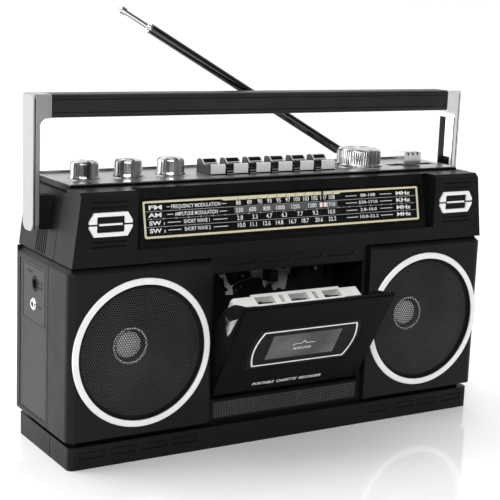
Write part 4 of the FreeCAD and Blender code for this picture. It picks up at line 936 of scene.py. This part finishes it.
def door_print(m):
    """Outline of the window panel, the grey view window and the small line of words."""
    n = -3.87 + 0.3
    form = Form(door_plane())

    def bowed(half, bulge, t0, t1, steps=14):
        middle = (t0 + t1) / 2
        reach = (t1 - t0) / 2
        right = [(half + bulge * (1 - ((t0 + (t1 - t0) * i / steps - middle) / reach) ** 2),
                  t0 + (t1 - t0) * i / steps) for i in range(steps + 1)]
        return right + [(-x, t) for x, t in reversed(right)]

    outer = bowed(36.6, 3.5, 26.0, 57.5)
    inner = bowed(35.7, 3.4, 26.9, 56.6)
    form.loft([[(x, n - 0.22, t) for x, t in outer], [(x, n - 0.22, t) for x, t in inner],
               [(x, n, t) for x, t in inner], [(x, n, t) for x, t in outer]], closed=True)
    form.piece("door_outline", m["ink"], "door", "window_smoke")

    pane = Form(door_plane())
    pane.block(-28.0, 26.0, n - 0.1, n, 31.3, 53.0)
    pane.piece("door_view_pane", m["smoke"], "door", "window_smoke")

    words = Form(door_plane())
    words.text("AUTO STOP", -1.3, 38.1, 1.9, n - 0.12, 1.0, "CENTER")
    mark = [(-9.8, 42.0), (-8.3, 43.6), (-3.3, 43.6), (-1.3, 46.0), (0.7, 43.6), (7.7, 43.6), (7.7, 43.2),
            (0.5, 43.2), (-1.3, 45.3), (-3.1, 43.2), (-8.0, 43.2), (-9.1, 42.0)]
    words.slab(mark, n - 0.15, n - 0.1)
    words.piece("door_pane_words", m["ink"], "door", "window_smoke")

    line_words = Form(door_plane())
    line_words.text("PORTABLE  CASSETTE  RECORDER", -2.3, 7.4, 2.4, -3.9, 1.09, "CENTER", 0.25)
    line_words.piece("door_words", m["ink"], "door", "door_black")


def bay_details(m):
    """Return spring wire and screws seen above the cassette."""
    wire = bpy.data.curves.new("head_return_wire", "CURVE")
    wire.dimensions = "3D"
    wire.bevel_depth = 0.28 * MM
    wire.bevel_resolution = 2
    wire.use_fill_caps = True
    spline = wire.splines.new("NURBS")
    route = [(-29.0, -10.4, 100.6), (-28.1, -10.6, 101.8), (-24.2, -10.7, 103.8), (-18.3, -10.7, 105.3),
             (-11.5, -10.6, 106.0)]
    spline.points.add(len(route) - 1)
    for point, place in zip(spline.points, route):
        point.co = (*[c * MM for c in place], 1.0)
    spline.order_u = 3
    spline.use_endpoint_u = True
    wire.materials.append(m["spring"])
    thing = bpy.data.objects.new("head_return_wire", wire)
    bpy.context.scene.collection.objects.link(thing)
    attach(thing, "root")

    screws = Form()
    for x, z, r in ((-18.4, 107.3, 1.0), (-29.5, 112.8, 1.4), (-23.0, 97.3, 0.9), (-19.5, 99.5, 0.9),
                    (-24.0, 108.5, 0.7), (42.0, 108.0, 1.6), (43.0, 116.0, 1.6)):
        steps = 18
        rings = [[(x + rr * math.cos(math.tau * i / steps), y, z + rr * math.sin(math.tau * i / steps))
                  for i in range(steps)] for rr, y in ((r, -7.3), (r, -8.0), (r * 0.6, -8.35))]
        screws.loft(rings)
    screws.piece("mech_screws", m["steel"], "root", "mech_steel", 40)


def tape_strips(m):
    """Tape that crosses the openings along the cassette's edge, with its pressure pad in the middle one."""
    form = Form(door_plane())
    for x0, x1 in ((-33.4, -19.6), (-14.7, -11.9), (-7.1, 7.1), (11.9, 14.7), (19.6, 33.4)):
        form.block(x0, x1, 19.0, 21.0, 60.0, 60.2)
    form.piece("cassette_tape", m["tape"], "cassette", "cassette_white")
    pad = Form(door_plane())
    pad.block(-3.0, 3.0, 18.6, 22.0, 58.0, 59.9)
    pad.piece("cassette_pressure_pad", m["steel"], "cassette", "cassette_white")


# ---------------------------------------------------------------- handle

ARM_INNER = 165.2       # distance of an arm's inner face from the middle


def handle_caps(m):
    """Recessed rectangle with a rim on each corner cap, dark edge line, and black patches inside each arm as a
    painted reflection of the dark case.
    """
    for side, sign in (("left", -1), ("right", 1)):
        form = Form()
        face = 42.4 - FRONT_SHIFT
        x0, x1 = sorted((sign * 158.9, sign * 163.2))
        ring = [(x0, 219.8), (x1, 219.8), (x1, 229.4), (x0, 229.4)]
        inner = [(x0 + 0.5, 220.3), (x1 - 0.5, 220.3), (x1 - 0.5, 228.9), (x0 + 0.5, 228.9)]
        form.loft([[(x, face - 0.25, z) for x, z in ring], [(x, face - 0.25, z) for x, z in inner],
                   [(x, face + 0.1, z) for x, z in inner], [(x, face + 0.1, z) for x, z in ring]], closed=True)
        form.piece(side + "_handle_cap_rim", m["arm"], "handle", "arm_silver")
        edge = Form()
        xa, xb = sorted((sign * 167.95, sign * 168.55))
        edge.block(xa, xb, face - 0.05, face + 0.6, 147.5, 229.5)
        edge.piece(side + "_handle_edge_line", m["gloss_black"], "handle", "arm_silver")
        # black patches on the arm's inner face: painted reflection of the dark case
        reflection_patches = Form()
        inner = sign * ARM_INNER
        xa, xb = sorted((inner - sign * 0.25, inner + sign * 0.2))
        reflection_patches.block(xa, xb, 53.0 - FRONT_SHIFT, 59.3 - FRONT_SHIFT, 176.0, 211.5)
        reflection_patches.block(xa, xb, face + 0.2, face + 0.9, 168.0, 212.0)
        reflection_patches.block(xa, xb, 46.0 - FRONT_SHIFT, 54.5 - FRONT_SHIFT, 176.0, 182.0)
        reflection_patches.piece(side + "_handle_arm_painted_reflection", m["gloss_black"], "handle", "arm_silver")


def antenna_details(m):
    """Bright ferrule on the middle section of the antenna."""
    pivot = joint_place("antenna_tilt")
    along = Matrix.Translation(pivot) @ Matrix.Rotation(math.radians(28.7), 4, "Y") \
        @ Matrix.Rotation(math.radians(-90), 4, "Y")

    def turned(name, body, material, slot, profile):
        form = Form(along)
        form.lathe((0.0, 0.0, 0.0), profile, 32)
        form.piece(name, material, body, slot, 35)

    turned("antenna_ferrule", "antenna_middle", m["chrome"], "antenna_bright",
           [(2.3, 183.7), (3.0, 183.75), (3.25, 184.1), (3.25, 185.0), (2.75, 185.3), (2.75, 185.6),
            (3.1, 185.9), (3.1, 186.5), (2.3, 186.8)])


# ---------------------------------------------------------------- studio

def floor_material():
    s = Surface("studio_floor", (0.93, 0.93, 0.93), 0.09, specular=0.5)
    s.vary_colour(0.99, 1.01, 2.0)
    return s.material


def make_floor():
    mesh = bpy.data.meshes.new("studio_floor")
    size = 40.0
    corners = [(-size, -size, 0), (size, -size, 0), (size, size, 0), (-size, size, 0)]
    mesh.from_pydata(corners, [], [(0, 1, 2, 3)])
    mesh.materials.append(floor_material())
    floor = bpy.data.objects.new("studio_floor", mesh)
    bpy.context.scene.collection.objects.link(floor)


def area_light(name, place, target, size, power):
    light = bpy.data.lights.new(name, "AREA")
    light.shape = "RECTANGLE"
    light.size, light.size_y = size
    light.energy = power
    thing = bpy.data.objects.new(name, light)
    thing.location = place
    thing.rotation_euler = (Vector(target) - Vector(place)).to_track_quat("-Z", "Y").to_euler()
    bpy.context.scene.collection.objects.link(thing)


def make_world():
    """Dim room in front of the player and a bright backdrop behind and above it."""
    world = bpy.data.worlds.new("studio_world")
    world.use_nodes = True
    tree = world.node_tree
    background = tree.nodes["Background"]
    background.inputs["Color"].default_value = (1.0, 1.0, 1.0, 1.0)
    direction = tree.nodes.new("ShaderNodeSeparateXYZ")
    tree.links.new(tree.nodes.new("ShaderNodeTexCoord").outputs["Generated"], direction.inputs["Vector"])
    gradient = tree.nodes.new("ShaderNodeMapRange")
    gradient.interpolation_type = "SMOOTHSTEP"
    for socket, value in (("From Min", -0.1), ("From Max", 0.75), ("To Min", 0.1), ("To Max", 1.05)):
        gradient.inputs[socket].default_value = value
    lift = tree.nodes.new("ShaderNodeMath")
    lift.operation = "MULTIPLY_ADD"
    lift.inputs[1].default_value = 0.55
    tree.links.new(direction.outputs["Z"], lift.inputs[0])
    tree.links.new(direction.outputs["Y"], lift.inputs[2])
    tree.links.new(lift.outputs[0], gradient.inputs["Value"])
    tree.links.new(gradient.outputs["Result"], background.inputs["Strength"])
    bpy.context.scene.world = world


def soft_sun(name, direction, power, angle):
    """Even light from one side; angle is its apparent width in degrees."""
    sun = bpy.data.lights.new(name, "SUN")
    sun.energy = power
    sun.angle = math.radians(angle)
    thing = bpy.data.objects.new(name, sun)
    thing.rotation_euler = Vector(direction).to_track_quat("-Z", "Y").to_euler()
    bpy.context.scene.collection.objects.link(thing)


def make_lights():
    soft_sun("overhead_panel", (0.25, -0.45, -1.0), 0.9, 50)
    soft_sun("front_panel", (0.55, 0.9, -0.8), 2.2, 40)
    area_light("left_softbox", (-1.5, 0.9, 0.45), (0, 0, 0.1), (1.2, 1.0), 16.0)


CAMERA_PLACE = (-477.2, -764.3, 303.7)
CAMERA_YAW = math.radians(31.52)
CAMERA_PITCH = math.radians(11.39)
CAMERA_ROLL = math.radians(2.26)
CAMERA_LENS = 95.0


def make_camera():
    data = bpy.data.cameras.new("camera")
    data.lens = CAMERA_LENS
    data.sensor_width = 36.0
    data.clip_start = 0.05
    data.clip_end = 100.0
    camera = bpy.data.objects.new("camera", data)
    forward = Vector((math.sin(CAMERA_YAW) * math.cos(CAMERA_PITCH),
                      math.cos(CAMERA_YAW) * math.cos(CAMERA_PITCH), -math.sin(CAMERA_PITCH)))
    level = Vector((math.cos(CAMERA_YAW), -math.sin(CAMERA_YAW), 0.0))
    upright = level.cross(forward)
    right = math.cos(CAMERA_ROLL) * level + math.sin(CAMERA_ROLL) * upright
    up = math.cos(CAMERA_ROLL) * upright - math.sin(CAMERA_ROLL) * level
    turn = Matrix((right, up, -forward)).transposed().to_4x4()
    camera.matrix_world = Matrix.Translation(Vector(CAMERA_PLACE) * MM) @ turn
    bpy.context.scene.collection.objects.link(camera)
    bpy.context.scene.camera = camera


def main():
    materials = make_materials()
    dress_frame(materials)
    dial_print(materials)
    door_print(materials)
    dotted_strip(materials)
    bay_details(materials)
    handle_caps(materials)
    antenna_details(materials)
    key_gap_ribs(materials)
    tape_strips(materials)
    socket_print(materials)
    for side in ("left", "right"):
        grille(side, materials)
        bright_cap(side, materials)
        emblem_insert(side, materials)
        side_lines(side, materials)
    for name in ("volume_knob", "tone_knob", "balance_knob"):
        small_knob(name, materials)
    tuning_knob(materials)
    for name in KEYS:
        key_trim(name, materials)
    pointer_trim(materials)
    make_floor()
    make_world()
    make_lights()
    make_camera()
    bpy.context.scene.view_settings.view_transform = "Standard"


main()
